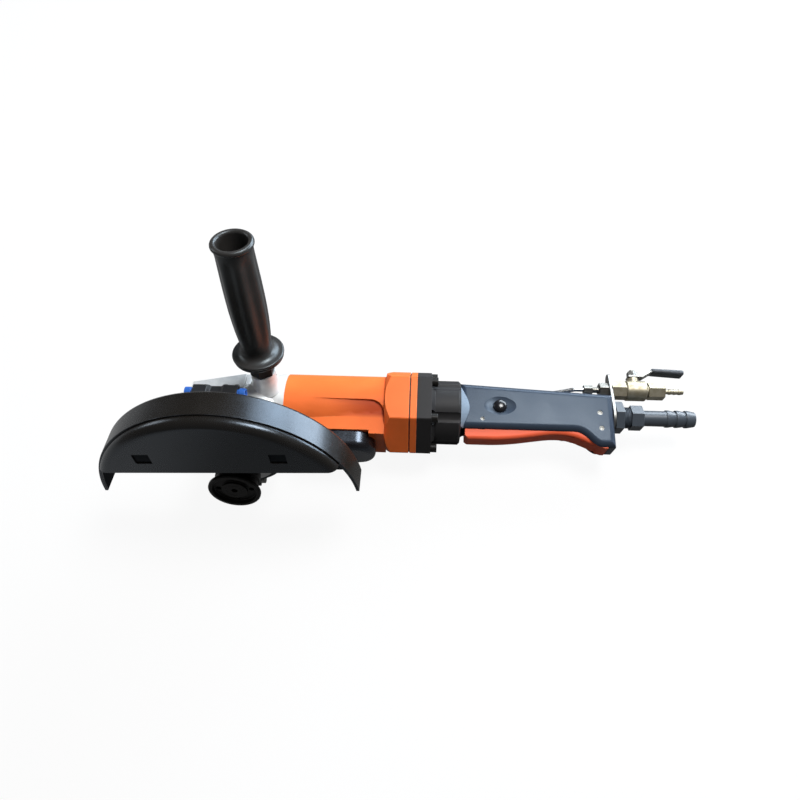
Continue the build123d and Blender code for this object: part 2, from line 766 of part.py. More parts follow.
with BuildPart() as guard_cover:
    cover_r = GUARD_R - COVER_INSET
    with BuildSketch(guard_plane(GUARD_FRONT)):
        Circle(cover_r)
        with Locations((0, COVER_CHORD_H)):
            Rectangle(2 * cover_r, cover_r, align=(Align.CENTER, Align.MIN), mode=Mode.INTERSECT)
        with Locations((-WINDOW_X, WINDOW_H), (WINDOW_X, WINDOW_H)):
            Rectangle(WINDOW_W, WINDOW_L, mode=Mode.SUBTRACT)
    extrude(amount=COVER_DEPTH)
    outer_edge = guard_cover.edges().filter_by(GeomType.CIRCLE).sort_by(Axis(HEAD_CENTRE, TO_NUT))[-1]
    fillet(outer_edge, COVER_EDGE_R)
    with BuildSketch(guard_plane(GUARD_FRONT)):
        Circle(cover_r - COVER_EDGE_R)
    extrude(amount=COVER_DEPTH - COVER_SHEET, mode=Mode.SUBTRACT)
keep(guard_cover, "guard_cover")

with BuildPart() as guard_clamp_band:
    band_in = collar_out + FIT
    band_out = band_in + BAND_T
    band_front = collar_front - GUARD_SHEET - PLAY
    ring(SPINDLE, band_front - BAND_L, band_front, band_in, band_out)
    with BuildSketch(guard_plane(band_front - BAND_L)):
        with Locations((0, -band_in - EAR_REACH)):
            Rectangle(2 * EAR_T + BAND_GAP, EAR_REACH + BAND_T / 2, align=(Align.CENTER, Align.MIN))
    extrude(amount=BAND_L)
    rod(SPINDLE, band_front - BAND_L, band_front, band_in, Mode.SUBTRACT)
    with BuildSketch(guard_plane(band_front - BAND_L)):
        with Locations((0, -band_in - EAR_REACH)):
            Rectangle(BAND_GAP, EAR_REACH + BAND_T, align=(Align.CENTER, Align.MIN))
    extrude(amount=BAND_L, mode=Mode.SUBTRACT)
    ear_middle = HEAD_CENTRE + TO_NUT * (band_front - BAND_L / 2)
    CLAMP = section(ear_middle - guard_up * (band_in + EAR_SCREW_AT), guard_side, TO_NUT)
    rod(CLAMP, -EAR_T - BAND_GAP, EAR_T + BAND_GAP, CLAMP_SCREW_R + FIT, Mode.SUBTRACT)
keep(guard_clamp_band, "guard_clamp_band")

with BuildPart() as guard_clamp_screw:
    ear_side = EAR_T + BAND_GAP / 2
    rod(CLAMP, -ear_side - CLAMP_SCREW_R, ear_side + CLAMP_SCREW_R, CLAMP_SCREW_R)
    rod(CLAMP, ear_side, ear_side + CLAMP_HEAD_L, CLAMP_HEAD_R)
    rod(CLAMP, -ear_side - CLAMP_NUT_L, -ear_side, CLAMP_HEAD_R)
keep(guard_clamp_screw, "guard_clamp_screw")

# Side handle on its socket
with BuildPart() as handle_socket:
    with BuildSketch(HANDLE):
        with BuildLine():
            Polyline((0, 0), (SOCKET_TOP, 0), (SOCKET_TOP, SOCKET_R), (SOCKET_TOP - SOCKET_R / 2, SOCKET_R))
            RadiusArc((SOCKET_TOP - SOCKET_R / 2, SOCKET_R), (HEAD_R, SOCKET_BASE_R), 2 * SOCKET_R)
            Polyline((HEAD_R, SOCKET_BASE_R), (0, SOCKET_BASE_R), (0, 0))
        make_face()
    revolve(axis=Axis(HANDLE.origin, TO_HANDLE))
    head_casing(Mode.SUBTRACT)
    rod(SPINDLE, BARREL_BACK, BARREL_FRONT, BARREL_R, Mode.SUBTRACT)
    rod(HANDLE, SOCKET_TOP - STUD_BITE, SOCKET_TOP, STUD_R + FIT, Mode.SUBTRACT)
keep(handle_socket, "handle_socket")

stud_hex_top = SOCKET_TOP + STUD_HEX_L
with BuildPart() as side_handle_stud:
    rod(HANDLE, SOCKET_TOP - STUD_BITE, GRIP_BASE + STUD_BITE, STUD_R)
    hex_bar(across_handle(SOCKET_TOP), STUD_HEX, STUD_HEX_L)
    turned(
        HANDLE,
        [
            (stud_hex_top, 0),
            (GRIP_BASE, 0),
            (GRIP_BASE, STUD_COLLAR_R),
            (GRIP_BASE - 2 * EDGE, STUD_COLLAR_R),
            (stud_hex_top, STUD_HEX / 2),
        ],
    )
keep(side_handle_stud, "side_handle_stud")

with BuildPart() as side_handle_grip:
    waist = GRIP_BASE + GRIP_WAIST_UP
    flange_top = GRIP_BASE + GRIP_FLANGE_L
    flange_middle = GRIP_BASE + GRIP_FLANGE_L / 2
    flange_edge_r = GRIP_FLANGE_R - GRIP_FLANGE_EDGE_R
    lip_middle = GRIP_END - LIP_R
    lip_circle_r = GRIP_HOLE_R + LIP_R
    lip_base = lip_middle - sqrt(LIP_R**2 - (GRIP_END_R - lip_circle_r) ** 2)
    hole_foot = GRIP_END - GRIP_HOLE_L
    with BuildSketch(HANDLE):
        with BuildLine():
            ThreePointArc((lip_base, GRIP_END_R), (GRIP_END, lip_circle_r), (lip_middle, GRIP_HOLE_R))
            Polyline(
                (lip_middle, GRIP_HOLE_R),
                (hole_foot, GRIP_HOLE_R),
                (hole_foot, 0),
                (GRIP_BASE, 0),
                (GRIP_BASE, flange_edge_r),
            )
            ThreePointArc((GRIP_BASE, flange_edge_r), (flange_middle, GRIP_FLANGE_R),
                          (flange_top, flange_edge_r))
            RadiusArc((flange_top, flange_edge_r), (waist, GRIP_WAIST_R), -GRIP_FLANGE_R / 2)
            ThreePointArc((waist, GRIP_WAIST_R), ((waist + lip_base) / 2, GRIP_BELLY_R),
                          (lip_base, GRIP_END_R))
        make_face()
    revolve(axis=Axis(HANDLE.origin, TO_HANDLE))
    rod(HANDLE, GRIP_BASE, GRIP_BASE + STUD_BITE, STUD_R + FIT, Mode.SUBTRACT)
    flute_lift = FLUTE_R - FLUTE_DEPTH
    flute_end_r = FLUTE_R - 2 * FLUTE_DEPTH
    for i in range(FLUTES):
        angle = radians(FLUTE_START + i * 360 / FLUTES)
        outward = TO_NUT * cos(angle) + ALONG * sin(angle)
        low = across_handle(waist).origin + outward * (GRIP_WAIST_R + flute_lift)
        high = across_handle(lip_base).origin + outward * (GRIP_END_R + flute_lift)
        flute_l = (high - low).length
        turned(
            section(low, (high - low).normalized(), outward),
            [
                (0, 0),
                (flute_l, 0),
                (flute_l, flute_end_r),
                (flute_l - FLUTE_RUN_OUT, FLUTE_R),
                (FLUTE_RUN_OUT, FLUTE_R),
                (0, flute_end_r),
            ],
            Mode.SUBTRACT,
        )
keep(side_handle_grip, "side_handle_grip")

# Water bracket with the push-in union
with BuildPart() as water_bracket:
    with BuildSketch(head_top(PAD_TOP)):
        with BuildLine():
            pad_rear = PAD_FRONT + PAD_L
            Polyline(
                (PLATE_FRONT, -PLATE_NEAR_S),
                (pad_rear, -PLATE_NEAR_S),
                (pad_rear, -PLATE_FAR_S),
                (PLATE_FRONT, -PLATE_FAR_S - PLATE_TAPER),
                close=True,
            )
        make_face()
        with Locations(*plate_screw_places):
            Circle(PLATE_SCREW_R + FIT, mode=Mode.SUBTRACT)
    extrude(amount=PLATE_T)
keep(water_bracket, "water_bracket")

plate_top = PAD_TOP + PLATE_T
with BuildPart() as bracket_screws:
    with BuildSketch(head_top(plate_top)):
        with Locations(*plate_screw_places):
            Circle(PLATE_SCREW_HEAD_R)
    extrude(amount=PLATE_SCREW_HEAD_L)
    with BuildSketch(head_top(plate_top)):
        with Locations(*plate_screw_places):
            Circle(PLATE_SCREW_R)
    extrude(amount=-PLATE_T - PAD_W / 3)
keep(bracket_screws, "bracket_screws")

union_h = plate_top + UNION_SIZE / 2
UNION = section(HEAD_CENTRE + TO_HANDLE * union_h + TO_NUT * UNION_S, ALONG, TO_HANDLE)
union_rear = UNION_FRONT + UNION_L
with BuildPart() as union_body:
    with BuildSketch(Plane(UNION.origin + ALONG * UNION_FRONT, TO_HANDLE, ALONG)):
        RectangleRounded(UNION_SIZE, UNION_SIZE, HEX_EDGE_R)
    extrude(amount=UNION_L)
    notch_x = UNION_FRONT + UNION_L / 2
    notch_foot = UNION_SIZE / 2 - UNION_NOTCH_DEPTH
    with BuildSketch(UNION):
        with BuildLine():
            Polyline(
                (notch_x - UNION_NOTCH_TOP / 2, UNION_SIZE / 2),
                (notch_x + UNION_NOTCH_TOP / 2, UNION_SIZE / 2),
                (notch_x + UNION_NOTCH_FOOT / 2, notch_foot),
                (notch_x - UNION_NOTCH_FOOT / 2, notch_foot),
                close=True,
            )
        make_face()
    extrude(amount=UNION_SIZE, both=True, mode=Mode.SUBTRACT)
    sleeve_hole = RELEASE_SLEEVE_L + RELEASE_GAP
    for face_x, inward in ((UNION_FRONT, 1), (union_rear, -1)):
        rod(UNION, face_x, face_x + inward * sleeve_hole, RELEASE_SLEEVE_R + PLAY, Mode.SUBTRACT)
        rod(UNION, face_x, face_x + inward * 2 * sleeve_hole, TUBE_HOLE_R, Mode.SUBTRACT)
keep(union_body, "union_body")


def release_collar(face_x, outward):
    """Push-in release collar: a flange outside the union and a sleeve inside it."""
    start = face_x + outward * RELEASE_GAP
    ring(UNION, start, start + outward * RELEASE_L, TUBE_HOLE_R, RELEASE_R)
    ring(UNION, face_x - outward * (RELEASE_SLEEVE_L - RELEASE_GAP), start, TUBE_HOLE_R, RELEASE_SLEEVE_R)


with BuildPart() as release_collar_front:
    release_collar(UNION_FRONT, -1)
keep(release_collar_front, "release_collar_front")

with BuildPart() as release_collar_rear:
    release_collar(union_rear, 1)
keep(release_collar_rear, "release_collar_rear")

# Water elbow behind the head, into the hollow spindle
ELBOW_ARM = section(HEAD_CENTRE + TO_NUT * ELBOW_ARM_S, ALONG, TO_HANDLE)
with BuildPart() as water_elbow:
    rod(SPINDLE, -HEAD_R - EDGE, REAR_BEARING_BACK - EDGE, ELBOW_SHANK_R)
    rod(SPINDLE, -ELBOW_BACK, -HEAD_R - FIT, ELBOW_R)
    rod(ELBOW_ARM, 0, ELBOW_ARM_L, ELBOW_ARM_R)
    rod(ELBOW_ARM, ELBOW_ARM_L - PIPE_INSET, ELBOW_ARM_L, PIPE_R + FIT, Mode.SUBTRACT)
keep(water_elbow, "water_elbow")

# Motor housing with its exhaust block and hexagonal flange
flange_rear = FLANGE_FRONT_X + FLANGE_L
gasket_rear = flange_rear + GASKET_T
cover_rear = gasket_rear + COVER_T
collar_flange_rear = cover_rear + COLLAR_FLANGE_L
collar_rear = collar_flange_rear + COLLAR_NECK_L
block_rear = BLOCK_FRONT_X + BLOCK_L


def hex_plate(start, length):
    """Hexagonal plate of the flange size with rounded corners."""
    with BuildSketch(across_tool(start)) as outline:
        RegularPolygon(HEX_FLATS / 2, HEX_SIDES, major_radius=False)
        fillet(outline.vertices(), HEX_EDGE_R)
    extrude(outline.sketch, amount=length)


def box_beside(x0, x1, y0, y1, half_height, mode=Mode.ADD):
    """Block between two places along X and Y, centred on the motor axis in Z."""
    with BuildSketch(SIDE) as outline:
        with Locations(((x0 + x1) / 2, (y0 + y1) / 2)):
            Rectangle(abs(x1 - x0), abs(y1 - y0))
    extrude(outline.sketch, amount=half_height, both=True, mode=mode)


with BuildPart() as relief:
    relief_slope = (HOUSING_R - RELIEF_R) / (FLANGE_FRONT_X - RELIEF_FRONT_X)
    relief_tip = RELIEF_FRONT_X - EDGE / relief_slope
    with BuildSketch(SIDE):
        with BuildLine():
            FilletPolyline(
                (relief_tip, RELIEF_EDGE_Y),
                (FLANGE_FRONT_X, RELIEF_EDGE_Y),
                (FLANGE_FRONT_X, -2 * HOUSING_R),
                radius=RELIEF_CORNER_R,
            )
            Polyline((FLANGE_FRONT_X, -2 * HOUSING_R), (relief_tip, -2 * HOUSING_R),
                     (relief_tip, RELIEF_EDGE_Y))
        make_face()
    extrude(amount=2 * HOUSING_R, both=True)
    turned(
        TOOL,
        [
            (relief_tip - EDGE, 0),
            (FLANGE_FRONT_X + EDGE, 0),
            (FLANGE_FRONT_X + EDGE, RELIEF_R - relief_slope * EDGE),
            (relief_tip - EDGE, HOUSING_R + EDGE + relief_slope * EDGE),
        ],
        Mode.SUBTRACT,
    )

with BuildPart() as motor_housing:
    rod(TOOL, HOUSING_FRONT_X, FLANGE_FRONT_X + EDGE, HOUSING_R)
    add(relief.part, mode=Mode.SUBTRACT)
    hex_plate(FLANGE_FRONT_X, FLANGE_L)
    hex_corner_r = HEX_FLATS / 2 / cos(pi / HEX_SIDES)
    turned(
        TOOL,
        [
            (FLANGE_FRONT_X, HEX_FLATS / 2),
            (FLANGE_FRONT_X + FLANGE_CHAMFER_L, hex_corner_r),
            (FLANGE_FRONT_X, hex_corner_r),
        ],
        Mode.SUBTRACT,
    )
    box_beside(BLOCK_FRONT_X, block_rear, BLOCK_FACE_Y, 0, BLOCK_HALF_H)
    box_beside(block_rear - FIT, FLANGE_FRONT_X, BLOCK_LIP_Y, 0, BLOCK_HALF_H)
    box_beside(BLOCK_FRONT_X - PLAY, block_rear - FIT, -2 * HOUSING_R, BLOCK_FACE_Y, 2 * HOUSING_R,
               Mode.SUBTRACT)
    rod(TOOL, HOUSING_FRONT_X, flange_rear, HOUSING_BORE_R, Mode.SUBTRACT)
    port_mid = BLOCK_FRONT_X + BLOCK_L / 2
    box_beside(port_mid - PORT_L / 2, port_mid + PORT_L / 2, BLOCK_FACE_Y, -HOUSING_BORE_R / 2, PORT_HALF_H,
               Mode.SUBTRACT)
    drilled(across_tool(flange_rear), SCREW_CIRCLE_R, SCREWS, SCREW_R + FIT, -SCREW_BITE)
keep(motor_housing, "motor_housing")

with BuildPart() as exhaust_hood:
    hood_rear = block_rear + HOOD_PAST_BLOCK
    hood_half_h = BLOCK_HALF_H - BLOCK_EDGE_R
    hood_y = BLOCK_FACE_Y - HOOD_REACH
    with BuildSketch(across_tool(BLOCK_FRONT_X)):
        with BuildLine():
            Polyline((hood_y + HOOD_REACH / 2, -hood_half_h), (BLOCK_FACE_Y, -hood_half_h),
                     (BLOCK_FACE_Y, hood_half_h), (BLOCK_FACE_Y - HOOD_WALL, hood_half_h))
            ThreePointArc((BLOCK_FACE_Y - HOOD_WALL, hood_half_h), (hood_y + HOOD_WALL, hood_half_h / 4),
                          (hood_y, -hood_half_h / 2))
            Line((hood_y, -hood_half_h / 2), (hood_y + HOOD_REACH / 2, -hood_half_h))
        make_face()
    extrude(amount=hood_rear - BLOCK_FRONT_X)
    fillet(exhaust_hood.edges().filter_by(Axis.X).sort_by(Axis.Y)[:1], HOOD_EDGE_R)
    hood_end = exhaust_hood.faces().sort_by(Axis.X)[-1]
    fillet(hood_end.edges().sort_by(Axis.Y)[:-1], HOOD_END_R)
    box_beside(block_rear - PLAY, hood_rear, BLOCK_LIP_Y - PLAY, 0, BLOCK_HALF_H, Mode.SUBTRACT)
    box_beside(BLOCK_FRONT_X + HOOD_WALL, block_rear - HOOD_WALL, BLOCK_FACE_Y, hood_y + 2 * HOOD_WALL,
               PORT_HALF_H, Mode.SUBTRACT)
keep(exhaust_hood, "exhaust_hood")

# Vane motor
liner_rear = LINER_FRONT_X + LINER_L
OFFSET_BORE = section((0, 0, AXIS_Z + LINER_OFFSET), ALONG, UP)
with BuildPart() as cylinder_liner:
    rod(TOOL, LINER_FRONT_X, liner_rear, HOUSING_BORE_R - FIT)
    rod(OFFSET_BORE, LINER_FRONT_X, liner_rear, LINER_BORE_R, Mode.SUBTRACT)
    box_beside(port_mid - PORT_L / 2, port_mid + PORT_L / 2, BLOCK_FACE_Y, -LINER_BORE_R / 2, PORT_HALF_H,
               Mode.SUBTRACT)
keep(cylinder_liner, "cylinder_liner")

plate_front_x = LINER_FRONT_X - PLATE_FRONT_T
with BuildPart() as front_end_plate:
    rod(TOOL, plate_front_x, LINER_FRONT_X, HOUSING_BORE_R - FIT)
    rod(TOOL, plate_front_x, LINER_FRONT_X - PLATE_WEB, FRONT_BEARING_R + FIT, Mode.SUBTRACT)
    rod(TOOL, plate_front_x, LINER_FRONT_X, FRONT_SHAFT_R + PLAY, Mode.SUBTRACT)
keep(front_end_plate, "front_end_plate")

with BuildPart() as motor_front_bearing:
    ring(TOOL, plate_front_x, LINER_FRONT_X - PLATE_WEB, FRONT_SHAFT_R + RUN, FRONT_BEARING_R)
keep(motor_front_bearing, "motor_front_bearing")

plate_rear_x = liner_rear + PLATE_REAR_T
with BuildPart() as rear_end_plate:
    rod(TOOL, liner_rear, plate_rear_x, HOUSING_BORE_R - FIT)
    rod(TOOL, liner_rear + PLATE_WEB, plate_rear_x, REAR_BEARING_R + FIT, Mode.SUBTRACT)
    rod(TOOL, liner_rear, plate_rear_x, REAR_SHAFT_R + PLAY, Mode.SUBTRACT)
keep(rear_end_plate, "rear_end_plate")

with BuildPart() as motor_rear_bearing:
    ring(TOOL, liner_rear + PLATE_WEB, plate_rear_x, REAR_SHAFT_R + RUN, REAR_BEARING_R)
keep(motor_rear_bearing, "motor_rear_bearing")

rotor_front = LINER_FRONT_X + ROTOR_GAP
rotor_rear = liner_rear - ROTOR_GAP
with BuildPart() as rotor:
    rod(TOOL, rotor_front, rotor_rear, ROTOR_R)
    rod(TOOL, pinion_front_x, rotor_front, FRONT_SHAFT_R)
    rod(TOOL, rotor_rear, plate_rear_x, REAR_SHAFT_R)
    with BuildSketch(across_tool(rotor_front)):
        with PolarLocations(ROTOR_R, VANES):
            Rectangle(2 * VANE_DEPTH, VANE_T)
    extrude(amount=rotor_rear - rotor_front, mode=Mode.SUBTRACT)
keep(rotor, "rotor")

with BuildPart() as rotor_vanes:
    with BuildSketch(across_tool(rotor_front)):
        with PolarLocations(ROTOR_R - VANE_DEPTH, VANES):
            Rectangle(VANE_DEPTH - PLAY, VANE_T - 2 * FIT, align=(Align.MIN, Align.CENTER))
    extrude(amount=rotor_rear - rotor_front)
keep(rotor_vanes, "rotor_vanes")

# Hexagonal stack: gasket, end cover, rear collar and screws
with BuildPart() as flange_gasket:
    with BuildSketch(across_tool(flange_rear)):
        RegularPolygon(HEX_FLATS / 2 - GASKET_T, HEX_SIDES, major_radius=False)
        Circle(HOUSING_BORE_R, mode=Mode.SUBTRACT)
        with PolarLocations(SCREW_CIRCLE_R, SCREWS):
            Circle(SCREW_R + FIT, mode=Mode.SUBTRACT)
    extrude(amount=GASKET_T)
keep(flange_gasket, "flange_gasket")

with BuildPart() as end_cover:
    hex_plate(gasket_rear, COVER_T)
    rod(TOOL, gasket_rear, cover_rear, AIR_HOLE_R, Mode.SUBTRACT)
    drilled(across_tool(gasket_rear), SCREW_CIRCLE_R, SCREWS, SCREW_R + FIT, COVER_T)
keep(end_cover, "end_cover")

with BuildPart() as rear_collar:
    hex_plate(cover_rear, COLLAR_FLANGE_L)
    turned(
        TOOL,
        [
            (cover_rear, 0),
            (collar_rear, 0),
            (collar_rear, COLLAR_NECK_R - COLLAR_FILLET_R),
            (collar_rear - COLLAR_FILLET_R, COLLAR_NECK_R),
            (collar_flange_rear + COLLAR_FLARE_L, COLLAR_NECK_R),
            (collar_flange_rear, HEX_FLATS / 2 - EDGE),
            (cover_rear, HEX_FLATS / 2 - EDGE),
        ],
    )
    drilled(across_tool(collar_flange_rear), SCREW_CIRCLE_R, SCREWS, SCALLOP_R, COLLAR_NECK_L)
    rod(TOOL, cover_rear, collar_rear, AIR_HOLE_R, Mode.SUBTRACT)
    drilled(across_tool(cover_rear), SCREW_CIRCLE_R, SCREWS, SCREW_R + FIT, COLLAR_FLANGE_L)
keep(rear_collar, "rear_collar")

with BuildPart() as collar_screws:
    drilled(across_tool(flange_rear - SCREW_BITE), SCREW_CIRCLE_R, SCREWS, SCREW_R,
            SCREW_BITE + collar_flange_rear - flange_rear, Mode.ADD)
    drilled(across_tool(collar_flange_rear), SCREW_CIRCLE_R, SCREWS, SCREW_HEAD_R, SCREW_HEAD_L, Mode.ADD)
    drilled(across_tool(collar_flange_rear + SCREW_HEAD_L), SCREW_CIRCLE_R, SCREWS, SCREW_HEAD_R / 2,
            -SCREW_R)
keep(collar_screws, "collar_screws")

# Grip casting
tail_x = collar_rear + GRIP_L
belly_end = tail_x - TAIL_L - TAIL_RISE_L
lever_front = collar_rear + LEVER_FROM_COLLAR
stop_x = collar_rear + STOP_FROM_COLLAR
dimple_x = collar_rear + DIMPLE_FROM_COLLAR
plunger_x = collar_rear + PLUNGER_FROM_COLLAR
pivot_x = tail_x - PIVOT_TO_TAIL
lever_neck = tail_x - LEVER_NECK_TO_TAIL
pin_end = GRIP_HALF_T - PIN_INSET
PLUNGER = section((plunger_x, 0, AXIS_Z), (0, 1, 0), UP)
BUTTON = section((dimple_x, DIMPLE_Y, AXIS_Z), UP, ALONG)
PIVOT = section((pivot_x, PIVOT_Y, AXIS_Z), UP, ALONG)
STOP = section((stop_x, STOP_Y, AXIS_Z), UP, ALONG)
DOWEL = section((tail_x - DOWEL_TO_TAIL, DOWEL_Y, AXIS_Z), UP, ALONG)
with BuildPart() as grip:
    with BuildSketch(SIDE):
        with BuildLine():
            Line((collar_rear, GRIP_BELLY_Y), (belly_end, GRIP_BELLY_Y))
            Spline((belly_end, GRIP_BELLY_Y), (tail_x - TAIL_L, TAIL_Y), tangents=((1, 0), (1, TAIL_SLOPE)))
            Polyline(
                (tail_x - TAIL_L, TAIL_Y),
                (tail_x, TAIL_Y),
                (tail_x, GRIP_BACK_TAIL_Y),
                (collar_rear, GRIP_BACK_FRONT_Y),
                (collar_rear, GRIP_BELLY_Y),
            )
        make_face()
    extrude(amount=GRIP_HALF_T, both=True)
    side_faces = grip.faces().filter_by(Axis.Z)
    fillet(side_faces.edges(), GRIP_EDGE_R)
    shoulder_end = collar_rear + SHOULDER_L
    turned(
        TOOL,
        [(collar_rear, 0), (shoulder_end, 0), (shoulder_end, SHOULDER_END_R), (collar_rear, SHOULDER_R)],
    )
    box_beside(collar_rear, shoulder_end, 2 * TAIL_Y, GRIP_BELLY_Y, 2 * GRIP_HALF_T, Mode.SUBTRACT)
    slot_w = LEVER_HALF_W + SLOT_PLAY
    box_beside(collar_rear, tail_x - TAIL_WALL, 2 * TAIL_Y, SLOT_TOP_Y, slot_w, Mode.SUBTRACT)
    DIMPLE = section((dimple_x, DIMPLE_Y, AXIS_Z + GRIP_HALF_T + dimple_lift), ALONG, UP)
    with BuildSketch(DIMPLE):
        with BuildLine():
            ThreePointArc((-DIMPLE_HALF_L, dimple_lift), (0, dimple_lift + DIMPLE_DEPTH),
                          (DIMPLE_HALF_L, dimple_lift))
            Polyline((DIMPLE_HALF_L, dimple_lift), (DIMPLE_HALF_L, 0), (-DIMPLE_HALF_L, 0),
                     (-DIMPLE_HALF_L, dimple_lift))
        make_face()
    revolve(axis=Axis(DIMPLE.origin, ALONG), mode=Mode.SUBTRACT)
    rod(BUTTON, button_foot - BUTTON_TRAVEL - PLAY, GRIP_HALF_T, BUTTON_R + PLAY, Mode.SUBTRACT)
    rod(PLUNGER, SLOT_TOP_Y, VALVE_BORE_END_Y, VALVE_BORE_R, Mode.SUBTRACT)
    rod(TOOL, tail_x - INLET_SHANK_L, tail_x, INLET_SHANK_R + FIT, Mode.SUBTRACT)
    rod(PIVOT, -GRIP_HALF_T, GRIP_HALF_T, PIVOT_R + FIT, Mode.SUBTRACT)
    rod(STOP, -GRIP_HALF_T, GRIP_HALF_T, STOP_R + FIT, Mode.SUBTRACT)
    rod(DOWEL, GRIP_HALF_T - DOWEL_L, GRIP_HALF_T, DOWEL_R + FIT, Mode.SUBTRACT)
keep(grip, "grip")

with BuildPart() as lock_button:
    rod(BUTTON, button_foot, button_foot + BUTTON_L, BUTTON_R)
    fillet(lock_button.edges().filter_by(GeomType.CIRCLE).sort_by(Axis.Z)[-1], BUTTON_DOME)
keep(lock_button, "lock_button")

with BuildPart() as pivot_pin:
    rod(PIVOT, -pin_end, pin_end, PIVOT_R)
keep(pivot_pin, "pivot_pin")

with BuildPart() as stop_pin:
    rod(STOP, -pin_end, pin_end, STOP_R)
keep(stop_pin, "stop_pin")

with BuildPart() as tail_dowel:
    rod(DOWEL, GRIP_HALF_T - DOWEL_L, pin_end, DOWEL_R)
keep(tail_dowel, "tail_dowel")

# Throttle lever
heel_x = tail_x - TAIL_WALL - 3 * PLAY
with BuildPart() as throttle_lever:
    with BuildSketch(SIDE):
        with BuildLine():
            inner_end = lever_neck - LEVER_NECK_T
            Polyline(
                (heel_x, PIVOT_Y),
                (heel_x, LEVER_HEEL_Y),
                (pivot_x + LEVER_NECK_T / 2, LEVER_HEEL_Y),
            )
            Spline(
                (pivot_x + LEVER_NECK_T / 2, LEVER_HEEL_Y),
                (lever_neck, LEVER_NECK_Y),
                (lever_front + 2 * LEVER_HALF_W, LEVER_FACE_Y),
                tangents=((-1, -TAIL_SLOPE), (-1, 0)),
            )
            Polyline(
                (lever_front + 2 * LEVER_HALF_W, LEVER_FACE_Y),
                (lever_front + LEVER_WALL, LEVER_FACE_Y),
                (lever_front, LEVER_FACE_Y + LEVER_WALL),
                (lever_front, LEVER_EDGE_Y),
                (stop_x - NOTCH_W / 2, LEVER_EDGE_Y),
                (stop_x - NOTCH_W / 2, LEVER_EDGE_Y - NOTCH_DEPTH),
                (stop_x + NOTCH_W / 2, LEVER_EDGE_Y - NOTCH_DEPTH),
                (stop_x + NOTCH_W / 2, LEVER_EDGE_Y),
                (inner_end, LEVER_EDGE_Y),
                (pivot_x - PIVOT_BOSS_R, PIVOT_Y + PIVOT_R),
                (pivot_x - PIVOT_R, PIVOT_Y + PIVOT_BOSS_R),
                (pivot_x + PIVOT_R, PIVOT_Y + PIVOT_BOSS_R),
                (heel_x, PIVOT_Y),
            )
        make_face()
    extrude(amount=LEVER_HALF_W, both=True)
    box_beside(stop_x + NOTCH_W, plunger_x - PLUNGER_HEAD_R, LEVER_FACE_Y + LEVER_WALL, 0,
               LEVER_HALF_W - LEVER_WALL, Mode.SUBTRACT)
    rod(PIVOT, -GRIP_HALF_T, GRIP_HALF_T, PIVOT_R + RUN, Mode.SUBTRACT)
keep(throttle_lever, "throttle_lever")

with BuildPart() as valve_bushing:
    ring(PLUNGER, SLOT_TOP_Y, SLOT_TOP_Y + BUSHING_L, PLUNGER_R + RUN, VALVE_BORE_R - FIT)
keep(valve_bushing, "valve_bushing")

with BuildPart() as throttle_plunger:
    rod(PLUNGER, LEVER_EDGE_Y + PLAY, PLUNGER_HEAD_Y, PLUNGER_R)
    rod(PLUNGER, PLUNGER_HEAD_Y, PLUNGER_HEAD_Y + PLUNGER_HEAD_L, PLUNGER_HEAD_R)
keep(throttle_plunger, "throttle_plunger")

# Rear bracket, inlet bushing and hose barb
bracket_rear = tail_x + BRACKET_T
bushing_rear = bracket_rear + INLET_HEX_L + INLET_NECK_L
with BuildPart() as rear_bracket:
    with BuildSketch(across_tool(tail_x)):
        Circle(BRACKET_INLET_R)
        with Locations((WATER_Y + BRACKET_WATER_OUT, 0)):
            Circle(BRACKET_WATER_R)
        make_hull()
        Circle(INLET_SHANK_R + FIT, mode=Mode.SUBTRACT)
        with Locations((WATER_Y, 0)):
            Circle(WATER_SHANK_R + FIT, mode=Mode.SUBTRACT)
    extrude(amount=BRACKET_T)
keep(rear_bracket, "rear_bracket")

with BuildPart() as inlet_bushing:
    rod(TOOL, tail_x - INLET_SHANK_L, bracket_rear, INLET_SHANK_R)
    hex_bar(across_tool(bracket_rear), INLET_HEX, INLET_HEX_L)
    rod(TOOL, bracket_rear, bushing_rear, INLET_NECK_R)
    rod(TOOL, tail_x - INLET_SHANK_L, bushing_rear, INLET_BORE_R, Mode.SUBTRACT)
keep(inlet_bushing, "inlet_bushing")

barb_tube_x = bushing_rear + BARB_HEX_L
barb_x = barb_tube_x + BARB_TUBE_L
with BuildPart() as hose_barb:
    hex_bar(across_tool(bushing_rear), BARB_HEX, BARB_HEX_L)
    rod(TOOL, bushing_rear, barb_x, BARB_TUBE_R)
    for i in range(BARB_RIDGES):
        start = barb_x + i * BARB_PITCH
        turned(
            TOOL,
            [
                (start, 0),
                (start + BARB_PITCH, 0),
                (start + BARB_PITCH, BARB_ROOT_R),
                (start + BARB_PITCH / 4, BARB_CREST_R),
                (start, BARB_CREST_R),
            ],
        )
    rod(TOOL, bushing_rear, barb_x + BARB_RIDGES * BARB_PITCH, INLET_BORE_R, Mode.SUBTRACT)
keep(hose_barb, "hose_barb")

# Bulkhead fitting, ball valve and water barb
fitting_front = tail_x - BULKHEAD_HEX_L - BULKHEAD_NECK_L
nut_front_x = fitting_front - PIPE_NUT_L
with BuildPart() as bulkhead_fitting:
    hex_bar(across_tool(tail_x - BULKHEAD_HEX_L, WATER_Y), BULKHEAD_HEX, BULKHEAD_HEX_L)
    rod(WATER, fitting_front, tail_x, BULKHEAD_NECK_R)
    rod(WATER, tail_x - FIT, bracket_rear + VALVE_SOCKET_L, WATER_SHANK_R)
keep(bulkhead_fitting, "bulkhead_fitting")

